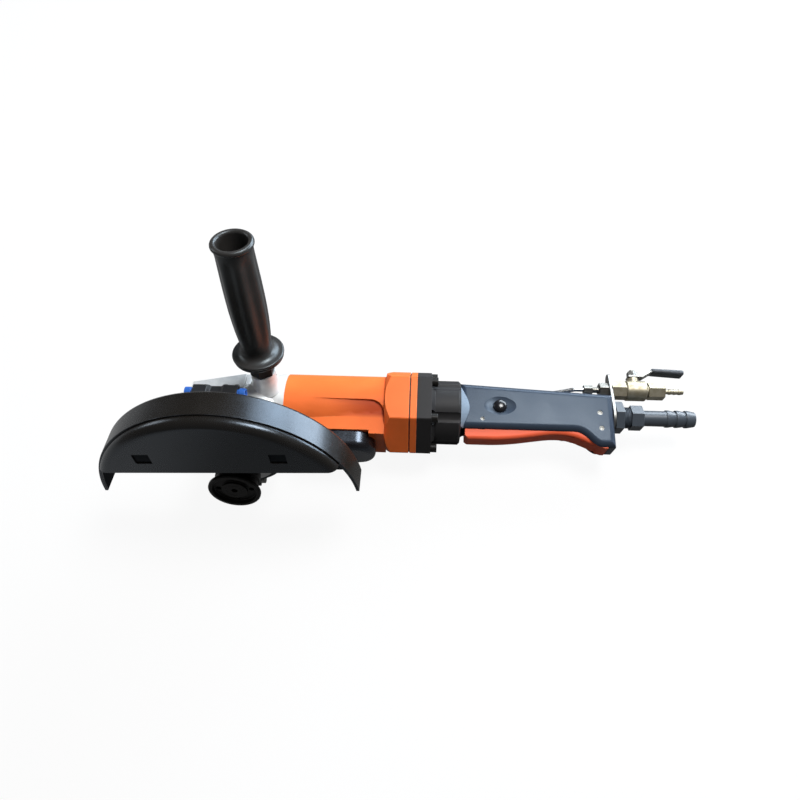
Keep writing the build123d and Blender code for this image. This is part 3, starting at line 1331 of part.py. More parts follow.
with BuildPart() as pipe_nut:
    hex_bar(across_tool(nut_front_x, WATER_Y), PIPE_NUT_HEX, PIPE_NUT_L)
    rod(WATER, nut_front_x, nut_front_x + PIPE_INSET, PIPE_R + FIT, Mode.SUBTRACT)
keep(pipe_nut, "pipe_nut")

valve_hex_rear = bracket_rear + VALVE_HEX_L
valve_rear = valve_hex_rear + VALVE_BODY_L
ball_x = valve_hex_rear + BALL_FROM_HEX
STEM = section((ball_x, WATER_Y, AXIS_Z), (0, 1, 0), UP)


def ball(radius, mode=Mode.ADD):
    """Ball of the valve, or the room for it with another mode."""
    with BuildSketch(STEM) as outline:
        with BuildLine():
            CenterArc((0, 0), radius, 0, 180)
            Line((-radius, 0), (radius, 0))
        make_face()
    revolve(outline.sketch, axis=Axis(STEM.origin, STEM.x_dir), mode=mode)


with BuildPart() as water_valve_body:
    hex_bar(across_tool(bracket_rear, WATER_Y), VALVE_HEX, VALVE_HEX_L)
    turned(
        WATER,
        [
            (valve_hex_rear, 0),
            (valve_rear, 0),
            (valve_rear, VALVE_BODY_R - EDGE),
            (valve_rear - EDGE, VALVE_BODY_R),
            (valve_hex_rear + EDGE, VALVE_BODY_R),
            (valve_hex_rear, VALVE_BODY_R - EDGE),
        ],
    )
    rod(STEM, 0, GLAND_TOP, GLAND_R)
    ball(BALL_R + BALL_GAP, Mode.SUBTRACT)
    rod(STEM, 0, GLAND_TOP, STEM_R + RUN, Mode.SUBTRACT)
    rod(WATER, bracket_rear, valve_rear, VALVE_FLOW_R, Mode.SUBTRACT)
    rod(WATER, bracket_rear, bracket_rear + VALVE_SOCKET_L, WATER_SHANK_R + FIT, Mode.SUBTRACT)
    rod(WATER, valve_rear - VALVE_SOCKET_L / 2, valve_rear, WATER_SHANK_R + FIT, Mode.SUBTRACT)
keep(water_valve_body, "water_valve_body")

with BuildPart() as valve_ball_stem:
    ball(BALL_R)
    rod(STEM, 0, STEM_TOP, STEM_R)
    rod(WATER, ball_x - BALL_R, ball_x + BALL_R, VALVE_FLOW_R, Mode.SUBTRACT)
keep(valve_ball_stem, "valve_ball_stem")

handle_y = WATER_Y + GLAND_TOP + HANDLE_LIFT + HANDLE_T / 2
handle_end = ball_x + HANDLE_REACH
handle_bend = ball_x + HANDLE_BEND_X
sleeve_x = handle_end + SLEEVE_T / 2 - SLEEVE_L


def handle_strip(extra, mode=Mode.ADD):
    """Bent steel strip of the valve handle, with room added for the sleeve's pocket."""
    with BuildSketch(SIDE) as outline:
        with BuildLine():
            Polyline(
                (ball_x - HANDLE_W / 2, handle_y),
                (handle_bend, handle_y),
                (handle_bend + HANDLE_SLOPE_L, handle_y + HANDLE_RISE),
                (handle_end, handle_y + HANDLE_RISE),
            )
        trace(line_width=HANDLE_T + 2 * extra)
    extrude(outline.sketch, amount=HANDLE_W / 2 + extra, both=True, mode=mode)


with BuildPart() as valve_handle:
    handle_strip(0)
    rod(STEM, 0, STEM_TOP, STEM_R + FIT, Mode.SUBTRACT)
keep(valve_handle, "valve_handle")

with BuildPart() as handle_sleeve:
    with BuildSketch(across_tool(sleeve_x, handle_y + HANDLE_RISE)):
        RectangleRounded(SLEEVE_T, SLEEVE_W, SLEEVE_EDGE_R)
    extrude(amount=SLEEVE_L)
    handle_strip(FIT, Mode.SUBTRACT)
keep(handle_sleeve, "handle_sleeve")

with BuildPart() as handle_nut:
    nut_seat = Plane(STEM.origin + Vector(0, handle_y - WATER_Y + HANDLE_T / 2, 0), ALONG, (0, 1, 0))
    hex_bar(nut_seat, NUT_HEX, NUT_L)
    rod(STEM, 0, STEM_TOP, STEM_R + FIT, Mode.SUBTRACT)
keep(handle_nut, "handle_nut")

water_hex_x = valve_rear + WATER_NECK_L
water_barb_x = water_hex_x + WATER_HEX_L
with BuildPart() as water_barb:
    rod(WATER, valve_rear - VALVE_SOCKET_L / 2, water_hex_x, WATER_SHANK_R)
    hex_bar(across_tool(water_hex_x, WATER_Y), WATER_HEX, WATER_HEX_L)
    ridge = WATER_BARB_L / WATER_BARB_STEPS
    rod(WATER, water_barb_x, water_barb_x + ridge, WATER_BARB_ROOT_R)
    for i in range(1, WATER_BARB_STEPS):
        start = water_barb_x + i * ridge
        turned(
            WATER,
            [
                (start, 0),
                (start + ridge, 0),
                (start + ridge, WATER_BARB_ROOT_R),
                (start + ridge / 4, WATER_BARB_R),
                (start, WATER_BARB_R),
            ],
        )
    rod(WATER, valve_rear - VALVE_SOCKET_L, water_barb_x + WATER_BARB_L, WATER_BARB_BORE_R, Mode.SUBTRACT)
keep(water_barb, "water_barb")

# Water pipe along the back of the tool
pipe_start = Vector(nut_front_x + PIPE_INSET, WATER_Y, AXIS_Z)
pipe_end = ELBOW_ARM.origin + ALONG * (ELBOW_ARM_L - PIPE_INSET)
with BuildPart() as water_pipe:
    with BuildLine():
        FilletPolyline(
            pipe_start,
            pipe_start - ALONG * PIPE_RUN_OUT,
            *[Vector(x, y, AXIS_Z + z) for x, y, z in PIPE_POINTS],
            pipe_end + ALONG * PIPE_RUN_OUT,
            pipe_end,
            radius=PIPE_BEND_R,
        )
    with BuildSketch(Plane(pipe_start, UP, ALONG)):
        Circle(PIPE_R)
    sweep()
keep(water_pipe, "water_pipe")
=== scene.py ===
# %% [markdown]
# # An air angle grinder
# The tool lies on its side with the side handle pointing up. A half guard with a front cover stands
# before a bare aluminium gear head, an orange motor housing follows, then a black collar, a slate
# grip with a red lever, and at the end an air hose barb and a small brass water valve. The packed
# solids are loaded first. They fix every size and place, so all that follows is surface and finish.

# %% Load the frame
import json
from math import atan2, cos, pi, radians, sin

import bpy
from mathutils import Matrix, Vector


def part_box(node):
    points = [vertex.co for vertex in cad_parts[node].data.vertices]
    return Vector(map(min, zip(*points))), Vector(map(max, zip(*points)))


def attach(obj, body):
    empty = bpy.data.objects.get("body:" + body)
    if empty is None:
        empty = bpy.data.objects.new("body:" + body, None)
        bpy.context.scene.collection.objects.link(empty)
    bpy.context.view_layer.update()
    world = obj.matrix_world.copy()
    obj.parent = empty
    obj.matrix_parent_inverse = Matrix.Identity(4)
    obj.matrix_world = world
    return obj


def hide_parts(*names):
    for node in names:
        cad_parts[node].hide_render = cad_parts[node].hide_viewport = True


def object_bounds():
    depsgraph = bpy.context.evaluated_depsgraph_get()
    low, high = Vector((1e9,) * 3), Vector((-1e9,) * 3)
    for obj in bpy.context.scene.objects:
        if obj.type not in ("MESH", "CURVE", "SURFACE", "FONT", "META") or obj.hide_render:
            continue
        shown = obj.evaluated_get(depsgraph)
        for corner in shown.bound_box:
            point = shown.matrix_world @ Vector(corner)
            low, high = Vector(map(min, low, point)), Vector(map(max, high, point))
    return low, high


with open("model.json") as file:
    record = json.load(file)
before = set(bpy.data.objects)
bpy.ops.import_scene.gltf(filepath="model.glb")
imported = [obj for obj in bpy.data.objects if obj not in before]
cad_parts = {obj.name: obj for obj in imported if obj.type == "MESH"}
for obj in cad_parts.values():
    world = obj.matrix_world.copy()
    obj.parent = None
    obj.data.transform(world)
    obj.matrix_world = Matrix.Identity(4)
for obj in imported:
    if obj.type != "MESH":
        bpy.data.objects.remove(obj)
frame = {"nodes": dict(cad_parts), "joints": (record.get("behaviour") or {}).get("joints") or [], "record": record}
solid_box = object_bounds()
MM = 0.001
NEAR = 1e-5  # points this close count as level
MERGE = 1e-6  # points this close become one
WHITE = (1, 1, 1, 1)
UPWARD = Vector((0, 0, 1))
nodes = frame["nodes"]
joints = {joint["name"]: joint for joint in frame["joints"]}

# %% [markdown]
# Three directions describe the tool: along the motor, out of the gear head to the lock nut, and out
# of the head to the side handle. The spindle joint gives the second one, so the script follows the
# solids if they change.

# %% Directions of the tool
ALONG = Vector((1, 0, 0))
TO_NUT = Vector(joints["spindle_spin"]["axis"])
TO_HANDLE = TO_NUT.cross(ALONG)
HEAD_CENTRE = Vector(joints["spindle_spin"]["pos_m"])
AXIS_Z = HEAD_CENTRE.z
print("the head is turned by", round(TO_NUT.angle(Vector((0, -1, 0))) * 180 / pi, 1), "degrees")

# %% [markdown]
# The camera stands above the lever side and looks steeply down. Its place was worked out from the
# outline of the guard and the ends of the tool, and its lens from how much the far handle shrinks.

# %% Camera
CAMERA_PLACE = Vector((0.02566, -0.26015, 0.68974))
CAMERA_AZIMUTH = radians(5.0268)
CAMERA_ELEVATION = radians(67.0764)
CAMERA_ROLL = radians(-3.0195)
LENS_MM = 29.25
CLIP_START_M = 0.01

forward = Vector((
    -sin(CAMERA_AZIMUTH) * cos(CAMERA_ELEVATION),
    cos(CAMERA_AZIMUTH) * cos(CAMERA_ELEVATION),
    -sin(CAMERA_ELEVATION),
))
level_right = forward.cross(UPWARD).normalized()
level_up = level_right.cross(forward)
right = level_right * cos(CAMERA_ROLL) + level_up * sin(CAMERA_ROLL)
up = right.cross(forward)

camera = bpy.data.objects.new("camera", bpy.data.cameras.new("camera"))
camera.data.lens = LENS_MM
camera.data.clip_start = CLIP_START_M
turn = Matrix((right, up, -forward)).transposed().to_4x4()
camera.matrix_world = Matrix.Translation(CAMERA_PLACE) @ turn
bpy.context.scene.collection.objects.link(camera)
bpy.context.scene.camera = camera
print("camera at", [round(c, 3) for c in camera.location])

# %% [markdown]
# Shader maths is easier to read as Python expressions than as a list of nodes. A Value wraps one
# output socket, and plus, minus and times on values add the Math nodes that work them out. A number
# may stand on either side.

# %% Values
class Value:
    """An output socket that Python's operators can work on."""

    def __init__(self, shading, socket):
        self.shading = shading
        self.socket = socket

    def maths(self, operation, first, second):
        return self.shading.node("Math", {"operation": operation}, {0: first, 1: second})

    def __add__(self, other):
        return self.maths("ADD", self, other)

    def __sub__(self, other):
        return self.maths("SUBTRACT", self, other)

    def __rsub__(self, other):
        return self.maths("SUBTRACT", other, self)

    def __mul__(self, other):
        return self.maths("MULTIPLY", self, other)

    __radd__ = __add__
    __rmul__ = __mul__


print("values ready")

# %% [markdown]
# A Shading hands out such values for one node tree. Nodes could be placed one by one, as in the node
# editor, but one method that takes a kind, its settings and its inputs makes any of them in a line.
# The other methods are short names for what the finishes need again and again.

# %% Shadings
SHOWING_RAYS = ("Is Camera Ray", "Is Glossy Ray", "Is Transmission Ray")


class Shading:
    """Adds nodes to one tree and hands their outputs on as values."""

    def __init__(self, tree):
        self.tree = tree

    def node(self, kind, settings=None, inputs=None, output=0):
        """Adds a node of a kind: its settings first, then the values or links of its sockets."""
        made = self.tree.nodes.new("ShaderNode" + kind)
        for name, setting in (settings or {}).items():
            setattr(made, name, setting)
        for key, value in (inputs or {}).items():
            self.put(made.inputs[key], value)
        return Value(self, made.outputs[output])

    def put(self, socket, value):
        if isinstance(value, Value):
            self.tree.links.new(value.socket, socket)
        else:
            socket.default_value = value

    def ramp(self, value, low, high, start=0.0, end=1.0):
        """Spreads the span from low to high over start to end and holds it there."""
        spans = {"Value": value, "From Min": low, "From Max": high, "To Min": start, "To Max": end}
        return self.node("MapRange", None, spans)

    def mix(self, share, first, second):
        """Colour that goes from the first to the second as share goes from 0 to 1."""
        # Sockets 6 and 7 and output 2 are this node's colour ones
        return self.node("Mix", {"data_type": "RGBA"}, {0: share, 6: first, 7: second}, output=2)

    def vectors(self, operation, inputs, output="Vector"):
        """One step of vector maths on places or directions."""
        return self.node("VectorMath", {"operation": operation}, dict(enumerate(inputs)), output)

    def dot(self, place, direction):
        """How far a place or direction reaches along another direction."""
        return self.vectors("DOT_PRODUCT", (place, direction), "Value")

    def reach(self, place, centre, axis):
        """Distance of a place from the line through a centre along an axis."""
        arm = self.vectors("SUBTRACT", (place, centre))
        side = self.vectors("CROSS_PRODUCT", (arm, axis))
        return self.vectors("LENGTH", (side,), "Value")

    def background_rays(self):
        """1 for rays that show the background: from the camera, off gloss and through glass."""
        camera, gloss, glass = (self.node("LightPath", output=kind) for kind in SHOWING_RAYS)
        return self.ramp(camera + gloss + glass, 0.0, 1.0)


print("shadings ready")

# %% [markdown]
# A Finish is the Shading of one material that ends in a Principled surface. Its patterns read Object
# coordinates, so they stay where they are on a piece when the piece moves.

# %% Finishes
class Finish(Shading):
    """A material whose nodes end in one Principled surface."""

    def __init__(self, name):
        self.material = bpy.data.materials.new(name)
        self.material.use_nodes = True
        super().__init__(self.material.node_tree)
        self.surface = next(n for n in self.tree.nodes if n.type == "BSDF_PRINCIPLED")
        self.place = self.node("TexCoord", output="Object")

    def set(self, **sockets):
        """Sets sockets of the surface; a name such as base_color stands for Base Color."""
        named = {socket.name.lower().replace(" ", "_"): socket for socket in self.surface.inputs}
        for name, value in sockets.items():
            self.put(named[name], value)

    def noise(self, size, detail=2):
        """Cloudy pattern whose blots are about a given size in metres."""
        return self.node("TexNoise", None, {"Vector": self.place, "Scale": 1 / size, "Detail": detail})

    def bump(self, height, depth):
        """Normal of a surface raised by height times depth in metres."""
        return self.node("Bump", None, {"Height": height, "Distance": depth, "Strength": 1.0})

    def edges(self, size, least, most):
        """1 on lighter edges, worn and painted highlight, in stretches of about a given size."""
        edge = self.node("Attribute", {"attribute_name": "edge"}, output="Fac")
        return edge * self.ramp(self.noise(size, detail=3), least, most)


def tone(colour, share=1.0):
    """The colour made lighter or darker, as four numbers."""
    return tuple(min(1.0, c * share) for c in colour) + (1.0,)


print("finishes ready")

# %% [markdown]
# Paint over a casting is never one flat colour. It is a little uneven in tone, its skin has a fine
# ripple like orange peel, it holds a few specks, and it is lighter along the edges, partly where it
# is thin or rubbed and partly as painted highlight for the light that a rounded edge catches. One
# function makes all the painted and coated finishes, because they differ only in colour, gloss,
# ripple and the colour of the edges.

# %% Painted and coated finishes
NEUTRAL = (1.0, 1.0, 1.0)
CLOUD_SPAN = (0.3, 0.7)
GLOSS_SPAN = (0.7, 1.3)
PAINT_CLOUD_M = 0.03
PAINT_UNEVEN = 0.07
PAINT_GLOSS_VARIES = 0.07
SPECK_M = 0.0004
SPECK_SPAN = (0.64, 0.76)
SPECK_SHARE = 0.2
PAINT_EDGE_M = 0.006
PAINT_EDGE_SPAN = (0.36, 0.62)


def painted(name, colour, roughness, worn_and_highlight, peel=0.0009, depth=0.00003, specular=0.3, sheen=NEUTRAL,
            patch=None):
    """Paint finish; a patch tells where it differs, in which colour and how much rougher."""
    finish = Finish(name)
    cloud = finish.noise(PAINT_CLOUD_M, detail=4)
    skin = finish.noise(peel, detail=3)
    specks = finish.ramp(finish.noise(SPECK_M, detail=1), *SPECK_SPAN)
    darker, lighter = tone(colour, 1 - PAINT_UNEVEN), tone(colour, 1 + PAINT_UNEVEN)
    shade = finish.mix(finish.ramp(cloud, *CLOUD_SPAN), darker, lighter)
    shade = finish.mix(specks * SPECK_SHARE, shade, tone(worn_and_highlight))
    smoother, rougher = roughness - PAINT_GLOSS_VARIES, roughness + PAINT_GLOSS_VARIES
    gloss = finish.ramp(skin + cloud, *GLOSS_SPAN, smoother, rougher)
    if patch:
        where, other, extra = patch(finish)
        shade = finish.mix(where, shade, tone(other))
        gloss = gloss + where * extra
    # The edges and specks take the lighter colour: worn paint, and on the edges also painted highlight.
    finish.set(
        base_color=finish.mix(finish.edges(PAINT_EDGE_M, *PAINT_EDGE_SPAN), shade, tone(worn_and_highlight)),
        roughness=gloss,
        normal=finish.bump(skin, depth),
        specular_ior_level=specular,
        specular_tint=tone(sheen),
    )
    return finish.material


print("paint ready")

# %% [markdown]
# Three coats are not the same all over. The grip gets painted light where its shoulder behind the
# collar and one side of the hollow round the lock button face along the motor. The housing gets
# painted shade, and a little more roughness, where it is cut in below the round of the barrel. The
# inside of the guard gets painted shade and more roughness. Such patches could be painted by hand
# into a picture, but a place or a facing is easily tested in the shader and stays sharp.

# %% Patches of the coats
SHOULDER_L_MM = 11.0
SHOULDER_FACING = (0.55, 0.75)
SHOULDER_PAINTED_LIGHT = (0.20, 0.25, 0.31)
HOLLOW_FACING = (0.05, 0.22)
HOLLOW_LIT_MM = (16.0, 12.0)
HOLLOW_LIT_SHARE = 0.6
BARREL_UNSHADED_MM = 36.0
BARREL_SHADED_MM = 33.8
RELIEF_PAINTED_SHADE = (0.52, 0.070, 0.016)
RELIEF_SHADE_ROUGHER = 0.1
GUARD_INSIDE_MM = (88.0, 111.5)
GUARD_UNSHADED_R_MM = 123.4
GUARD_SHADED_R_MM = 122.0
INSIDE_PAINTED_SHADE = (0.002, 0.002, 0.002)
INSIDE_SHADE_ROUGHER = 0.6

button_low, button_high = (Vector(c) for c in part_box("lock_button"))
button_centre = (button_low + button_high) / 2


# The grip's shoulder and one side of its hollow, where they face along the motor, get a lighter colour: painted
# light.
def painted_light_shoulder(finish):
    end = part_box("rear_collar")[1][0] + SHOULDER_L_MM * MM
    facing = finish.dot(finish.node("TexCoord", output="Normal"), ALONG)
    before = finish.ramp(finish.dot(finish.place, ALONG), end - MM, end, 1.0, 0.0)
    outer, inner = (radius * MM for radius in HOLLOW_LIT_MM)
    around = finish.ramp(finish.reach(finish.place, button_centre, UPWARD), outer, inner)
    lit_hollow = finish.ramp(facing, *HOLLOW_FACING) * around * (1 - before) * HOLLOW_LIT_SHARE
    return finish.ramp(facing, *SHOULDER_FACING) * before + lit_hollow, SHOULDER_PAINTED_LIGHT, 0.0


# The housing is darker where it is cut in below the round of the barrel: painted shade, with a little more
# roughness.
def painted_shade_relief(finish):
    reach = finish.reach(finish.place, (0, 0, AXIS_Z), ALONG)
    return finish.ramp(reach, BARREL_UNSHADED_MM * MM, BARREL_SHADED_MM * MM), RELIEF_PAINTED_SHADE, RELIEF_SHADE_ROUGHER


# The inside of the guard is nearly black: painted shade, with more roughness.
def painted_shade_inside(finish):
    height = finish.dot(finish.place, TO_NUT) - HEAD_CENTRE.dot(TO_NUT)
    low, high = (limit * MM for limit in GUARD_INSIDE_MM)
    within = finish.ramp(height, low - MM, low) * finish.ramp(height, high + MM, high)
    reach = finish.reach(finish.place, HEAD_CENTRE, TO_NUT)
    inner = finish.ramp(reach, GUARD_UNSHADED_R_MM * MM, GUARD_SHADED_R_MM * MM)
    return within * inner, INSIDE_PAINTED_SHADE, INSIDE_SHADE_ROUGHER


print("patches for the grip, the housing and the guard")

# %% [markdown]
# Bare metal gets its look from reflections, so its colour hardly varies and its roughness does.
# Castings are grainy and pitted, plated parts are mottled, and brass goes brown where nothing rubs
# it. Edges are lighter, partly as worn metal and partly as painted highlight. A fine noise and a
# coarse one are enough for all of these, so one function makes them.

# %% Bare metal finishes
STAIN_SPAN = (0.35, 0.65)
METAL_GLOSS_VARIES = 0.08
METAL_EDGE_M = 0.004
METAL_EDGE_SPAN = (0.3, 0.6)
METAL_EDGE_TONE = 1.15


def bare_metal(name, colour, roughness, grain, depth, stain, blot=0.012, metallic=1.0):
    finish = Finish(name)
    cloud = finish.noise(blot, detail=5)
    skin = finish.noise(grain, detail=3)
    tarnish = finish.mix(finish.ramp(cloud, *STAIN_SPAN), tone(stain), tone(colour))
    worn_and_highlight = finish.edges(METAL_EDGE_M, *METAL_EDGE_SPAN)
    smoother, rougher = roughness - METAL_GLOSS_VARIES, roughness + METAL_GLOSS_VARIES
    # The edges take a lighter tone: worn metal and painted highlight.
    finish.set(
        base_color=finish.mix(worn_and_highlight, tarnish, tone(colour, METAL_EDGE_TONE)),
        roughness=finish.ramp(skin + cloud, *GLOSS_SPAN, rougher, smoother),
        normal=finish.bump(skin, depth),
        metallic=metallic,
    )
    return finish.material


print("bare metal ready")

# %% [markdown]
# A turned face keeps the rings of the cutting tool. The rings follow the distance along the lathe
# axis, so a noise that only reads that distance gives them. Real grooves would take thousands of
# faces and look the same.

# %% Turned metal
RINGS_SCALE = 2500.0
BANDS_SCALE = 300.0
RING_DEPTH = 0.00001
BAND_DARK = 0.8
BAND_LIGHT = 1.05
RING_SMOOTHER = 0.08
RING_ROUGHER = 0.1


def turned_metal(name, colour, roughness, direction):
    finish = Finish(name)
    distance = finish.dot(finish.place, direction)
    along = {"noise_dimensions": "1D"}
    rings = finish.node("TexNoise", along, {"W": distance, "Scale": RINGS_SCALE})
    bands = finish.node("TexNoise", along, {"W": distance, "Scale": BANDS_SCALE})
    share = finish.ramp(bands, *STAIN_SPAN)
    smoother, rougher = roughness - RING_SMOOTHER, roughness + RING_ROUGHER
    finish.set(
        base_color=finish.mix(share, tone(colour, BAND_DARK), tone(colour, BAND_LIGHT)),
        roughness=finish.ramp(rings, *CLOUD_SPAN, smoother, rougher),
        normal=finish.bump(rings, RING_DEPTH),
        metallic=1.0,
    )
    return finish.material


print("turned metal ready")

# %% [markdown]
# Moulded plastic and rubber have a smooth skin with a faint waviness from the mould and fine scuffs
# that only show in the gloss. So the waves feed the normal and the scuffs feed the roughness.

# %% Moulded finishes
MOULD_CLOUD_M = 0.02
MOULD_WAVE_M = 0.006
MOULD_WAVE_DEPTH = 0.00004
MOULD_UNEVEN = 0.15
SCUFF_M = 0.0012
SCUFF_SMOOTHER = 0.05
SCUFF_ROUGHER = 0.07


def moulded(name, colour, roughness, specular=0.4, sheen=NEUTRAL):
    finish = Finish(name)
    cloud = finish.noise(MOULD_CLOUD_M, detail=4)
    skin = finish.noise(MOULD_WAVE_M, detail=2)
    scuffs = finish.noise(SCUFF_M, detail=4)
    darker, lighter = tone(colour, 1 - MOULD_UNEVEN), tone(colour, 1 + MOULD_UNEVEN)
    smoother, rougher = roughness - SCUFF_SMOOTHER, roughness + SCUFF_ROUGHER
    finish.set(
        base_color=finish.mix(finish.ramp(cloud, *CLOUD_SPAN), darker, lighter),
        roughness=finish.ramp(scuffs + cloud, *GLOSS_SPAN, smoother, rougher),
        normal=finish.bump(skin, MOULD_WAVE_DEPTH),
        specular_ior_level=specular,
        specular_tint=tone(sheen),
    )
    return finish.material


print("mouldings ready")

# %% [markdown]
# Each material slot of the record gets one finish. The four functions could be called one by one, but
# with the recipes in one table a colour or a gloss is found and compared in one place. Lengths in it
# are in metres.

# %% Finishes by slot
RECIPES = {
    "cast_aluminium": (bare_metal, dict(
        colour=(0.82, 0.81, 0.79), roughness=0.56, grain=0.0007, depth=0.00006,
        stain=(0.64, 0.64, 0.63), metallic=0.45,
    )),
    "turned_aluminium": (turned_metal, dict(colour=(0.62, 0.62, 0.62), roughness=0.32, direction=TO_NUT)),
    "zinc_steel": (bare_metal, dict(
        colour=(0.32, 0.32, 0.31), roughness=0.48, grain=0.002, depth=0.00001, stain=(0.32, 0.32, 0.30),
    )),
    "machined_steel": (bare_metal, dict(
        colour=(0.50, 0.50, 0.51), roughness=0.25, grain=0.0005, depth=0.00001, stain=(0.42, 0.42, 0.42),
    )),
    "fitting_steel": (bare_metal, dict(
        colour=(0.24, 0.23, 0.21), roughness=0.36, grain=0.0012, depth=0.00002, stain=(0.13, 0.12, 0.10),
    )),
    "black_steel": (painted, dict(
        colour=(0.011, 0.010, 0.009), roughness=0.40, worn_and_highlight=(0.05, 0.05, 0.05), specular=0.2,
    )),
    "guard_black": (painted, dict(
        colour=(0.012, 0.0098, 0.0075), roughness=0.25, worn_and_highlight=(0.03, 0.032, 0.036), peel=0.0006,
        depth=0.00002, specular=0.6, sheen=(0.68, 0.83, 1.0), patch=painted_shade_inside,
    )),
    "handle_black": (moulded, dict(
        colour=(0.030, 0.027, 0.025), roughness=0.37, specular=0.62, sheen=(0.80, 0.93, 1.0),
    )),
    "housing_orange": (painted, dict(
        colour=(0.86, 0.165, 0.034), roughness=0.42, worn_and_highlight=(0.90, 0.25, 0.08), peel=0.0011,
        depth=0.00005, specular=0.2, patch=painted_shade_relief,
    )),
    "collar_black": (painted, dict(
        colour=(0.026, 0.025, 0.0255), roughness=0.42, worn_and_highlight=(0.08, 0.085, 0.09), specular=0.13,
    )),
    "grip_slate": (painted, dict(
        colour=(0.036, 0.049, 0.072), roughness=0.30, worn_and_highlight=(0.10, 0.13, 0.18), specular=0.2,
        sheen=(0.75, 0.88, 1.0), patch=painted_light_shoulder,
    )),
    "lever_red": (painted, dict(
        colour=(0.90, 0.135, 0.055), roughness=0.46, worn_and_highlight=(0.70, 0.17, 0.09), specular=0.2,
    )),
    "hood_black": (moulded, dict(
        colour=(0.009, 0.007, 0.007), roughness=0.24, specular=0.8, sheen=(0.66, 0.80, 1.0),
    )),
    "cast_iron": (bare_metal, dict(
        colour=(0.28, 0.28, 0.29), roughness=0.45, grain=0.0006, depth=0.00004, stain=(0.20, 0.20, 0.20),
    )),
    "vane_resin": (moulded, dict(colour=(0.35, 0.24, 0.13), roughness=0.5)),
    "seal_rubber": (moulded, dict(colour=(0.02, 0.02, 0.02), roughness=0.6)),
    "sleeve_grey": (moulded, dict(colour=(0.048, 0.055, 0.065), roughness=0.5)),
    "inlet_grey": (painted, dict(
        colour=(0.058, 0.070, 0.086), roughness=0.36, worn_and_highlight=(0.14, 0.16, 0.18), specular=0.45,
    )),
    "brass": (bare_metal, dict(
        colour=(0.44, 0.40, 0.30), roughness=0.46, grain=0.0012, depth=0.00003,
        stain=(0.30, 0.26, 0.18), blot=0.006, metallic=0.8,
    )),
    "pipe_steel": (bare_metal, dict(
        colour=(0.55, 0.55, 0.54), roughness=0.3, grain=0.003, depth=0.00001, stain=(0.42, 0.42, 0.41),
    )),
    "union_black": (moulded, dict(colour=(0.020, 0.021, 0.023), roughness=0.42)),
    "release_blue": (moulded, dict(colour=(0.035, 0.15, 0.56), roughness=0.36)),
    "button_black": (moulded, dict(colour=(0.010, 0.010, 0.012), roughness=0.2, specular=0.5)),
}
finishes = {slot: make(slot, **values) for slot, (make, values) in RECIPES.items()}
node_slot = {part["node"]: part["material_slot"] for part in frame["record"]["subparts"]}
node_body = {name: body for body, names in frame["record"]["behaviour"]["bodies"].items() for name in names}
for name, node in nodes.items():
    node.data.materials.clear()
    node.data.materials.append(finishes[node_slot[name]])
print(len(finishes), "finishes on", len(nodes), "nodes")

# %% [markdown]
# No real edge is perfectly sharp: it is cast, ground or at least deburred, and that small round
# catches a line of light. Each visible solid is copied, its loose triangles are merged, flat fields
# are cleared of their inner edges, and a bevel rounds what is left of the sharp edges. Weighted
# normals then keep the large faces flat beside the narrow rounds. The bevel is told to give its new
# faces a second material number, and that number is kept as an attribute which the finishes read as
# edges with a lighter colour, partly worn and partly painted highlight.

# %% Softened copies
SHARP = radians(32)
FLAT = radians(0.6)
EDGE_SEGMENTS = 3
FLAT_FIRST = 100  # lets the largest faces decide


def only(piece):
    """Deselects everything else and makes the piece active."""
    bpy.ops.object.select_all(action="DESELECT")
    piece.select_set(True)
    bpy.context.view_layer.objects.active = piece


def dressed(piece, name):
    """The piece rides with a node's body and wears its finish."""
    slot = node_slot[name]
    piece.data.materials.clear()
    piece.data.materials.append(finishes[slot])
    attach(piece, node_body[name])


def rounded(piece, width, clamp):
    """Rounds the sharp edges of a piece and marks the new faces as its edges."""
    only(piece)
    piece.data.materials.clear()
    # Slot 0 holds the old faces and slot 1 the rounds
    for i in range(2):
        piece.data.materials.append(None)
    bevel = piece.modifiers.new("edges", "BEVEL")
    bevel.width = width
    bevel.segments = EDGE_SEGMENTS
    bevel.limit_method = "ANGLE"
    bevel.angle_limit = SHARP
    bevel.use_clamp_overlap = clamp
    bevel.material = 1
    bpy.ops.object.shade_smooth_by_angle(angle=SHARP)
    bpy.ops.object.modifier_apply(modifier="edges")
    normals = piece.modifiers.new("normals", "WEIGHTED_NORMAL")
    normals.weight = FLAT_FIRST
    normals.keep_sharp = True
    bpy.ops.object.modifier_apply(modifier="normals")
    marks = [float(face.material_index) for face in piece.data.polygons]
    piece.data.attributes.new("edge", "FLOAT", "FACE").data.foreach_set("value", marks)
    piece.data.polygons.foreach_set("material_index", [0] * len(marks))


def softened(name, width, clamp=False, shaping=None):
    """Copy of a node, shaped further if need be and with rounded edges, which stands for the node."""
    piece = bpy.data.objects.new(name + "_soft", nodes[name].data.copy())
    bpy.context.scene.collection.objects.link(piece)
    only(piece)
    bpy.ops.object.mode_set(mode="EDIT")
    bpy.ops.mesh.select_all(action="SELECT")
    bpy.ops.mesh.remove_doubles(threshold=MERGE)
    bpy.ops.mesh.dissolve_limited(angle_limit=FLAT)
    bpy.ops.object.mode_set(mode="OBJECT")
    if shaping:
        shaping(piece)
    rounded(piece, width, clamp)
    dressed(piece, name)
    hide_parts(name)


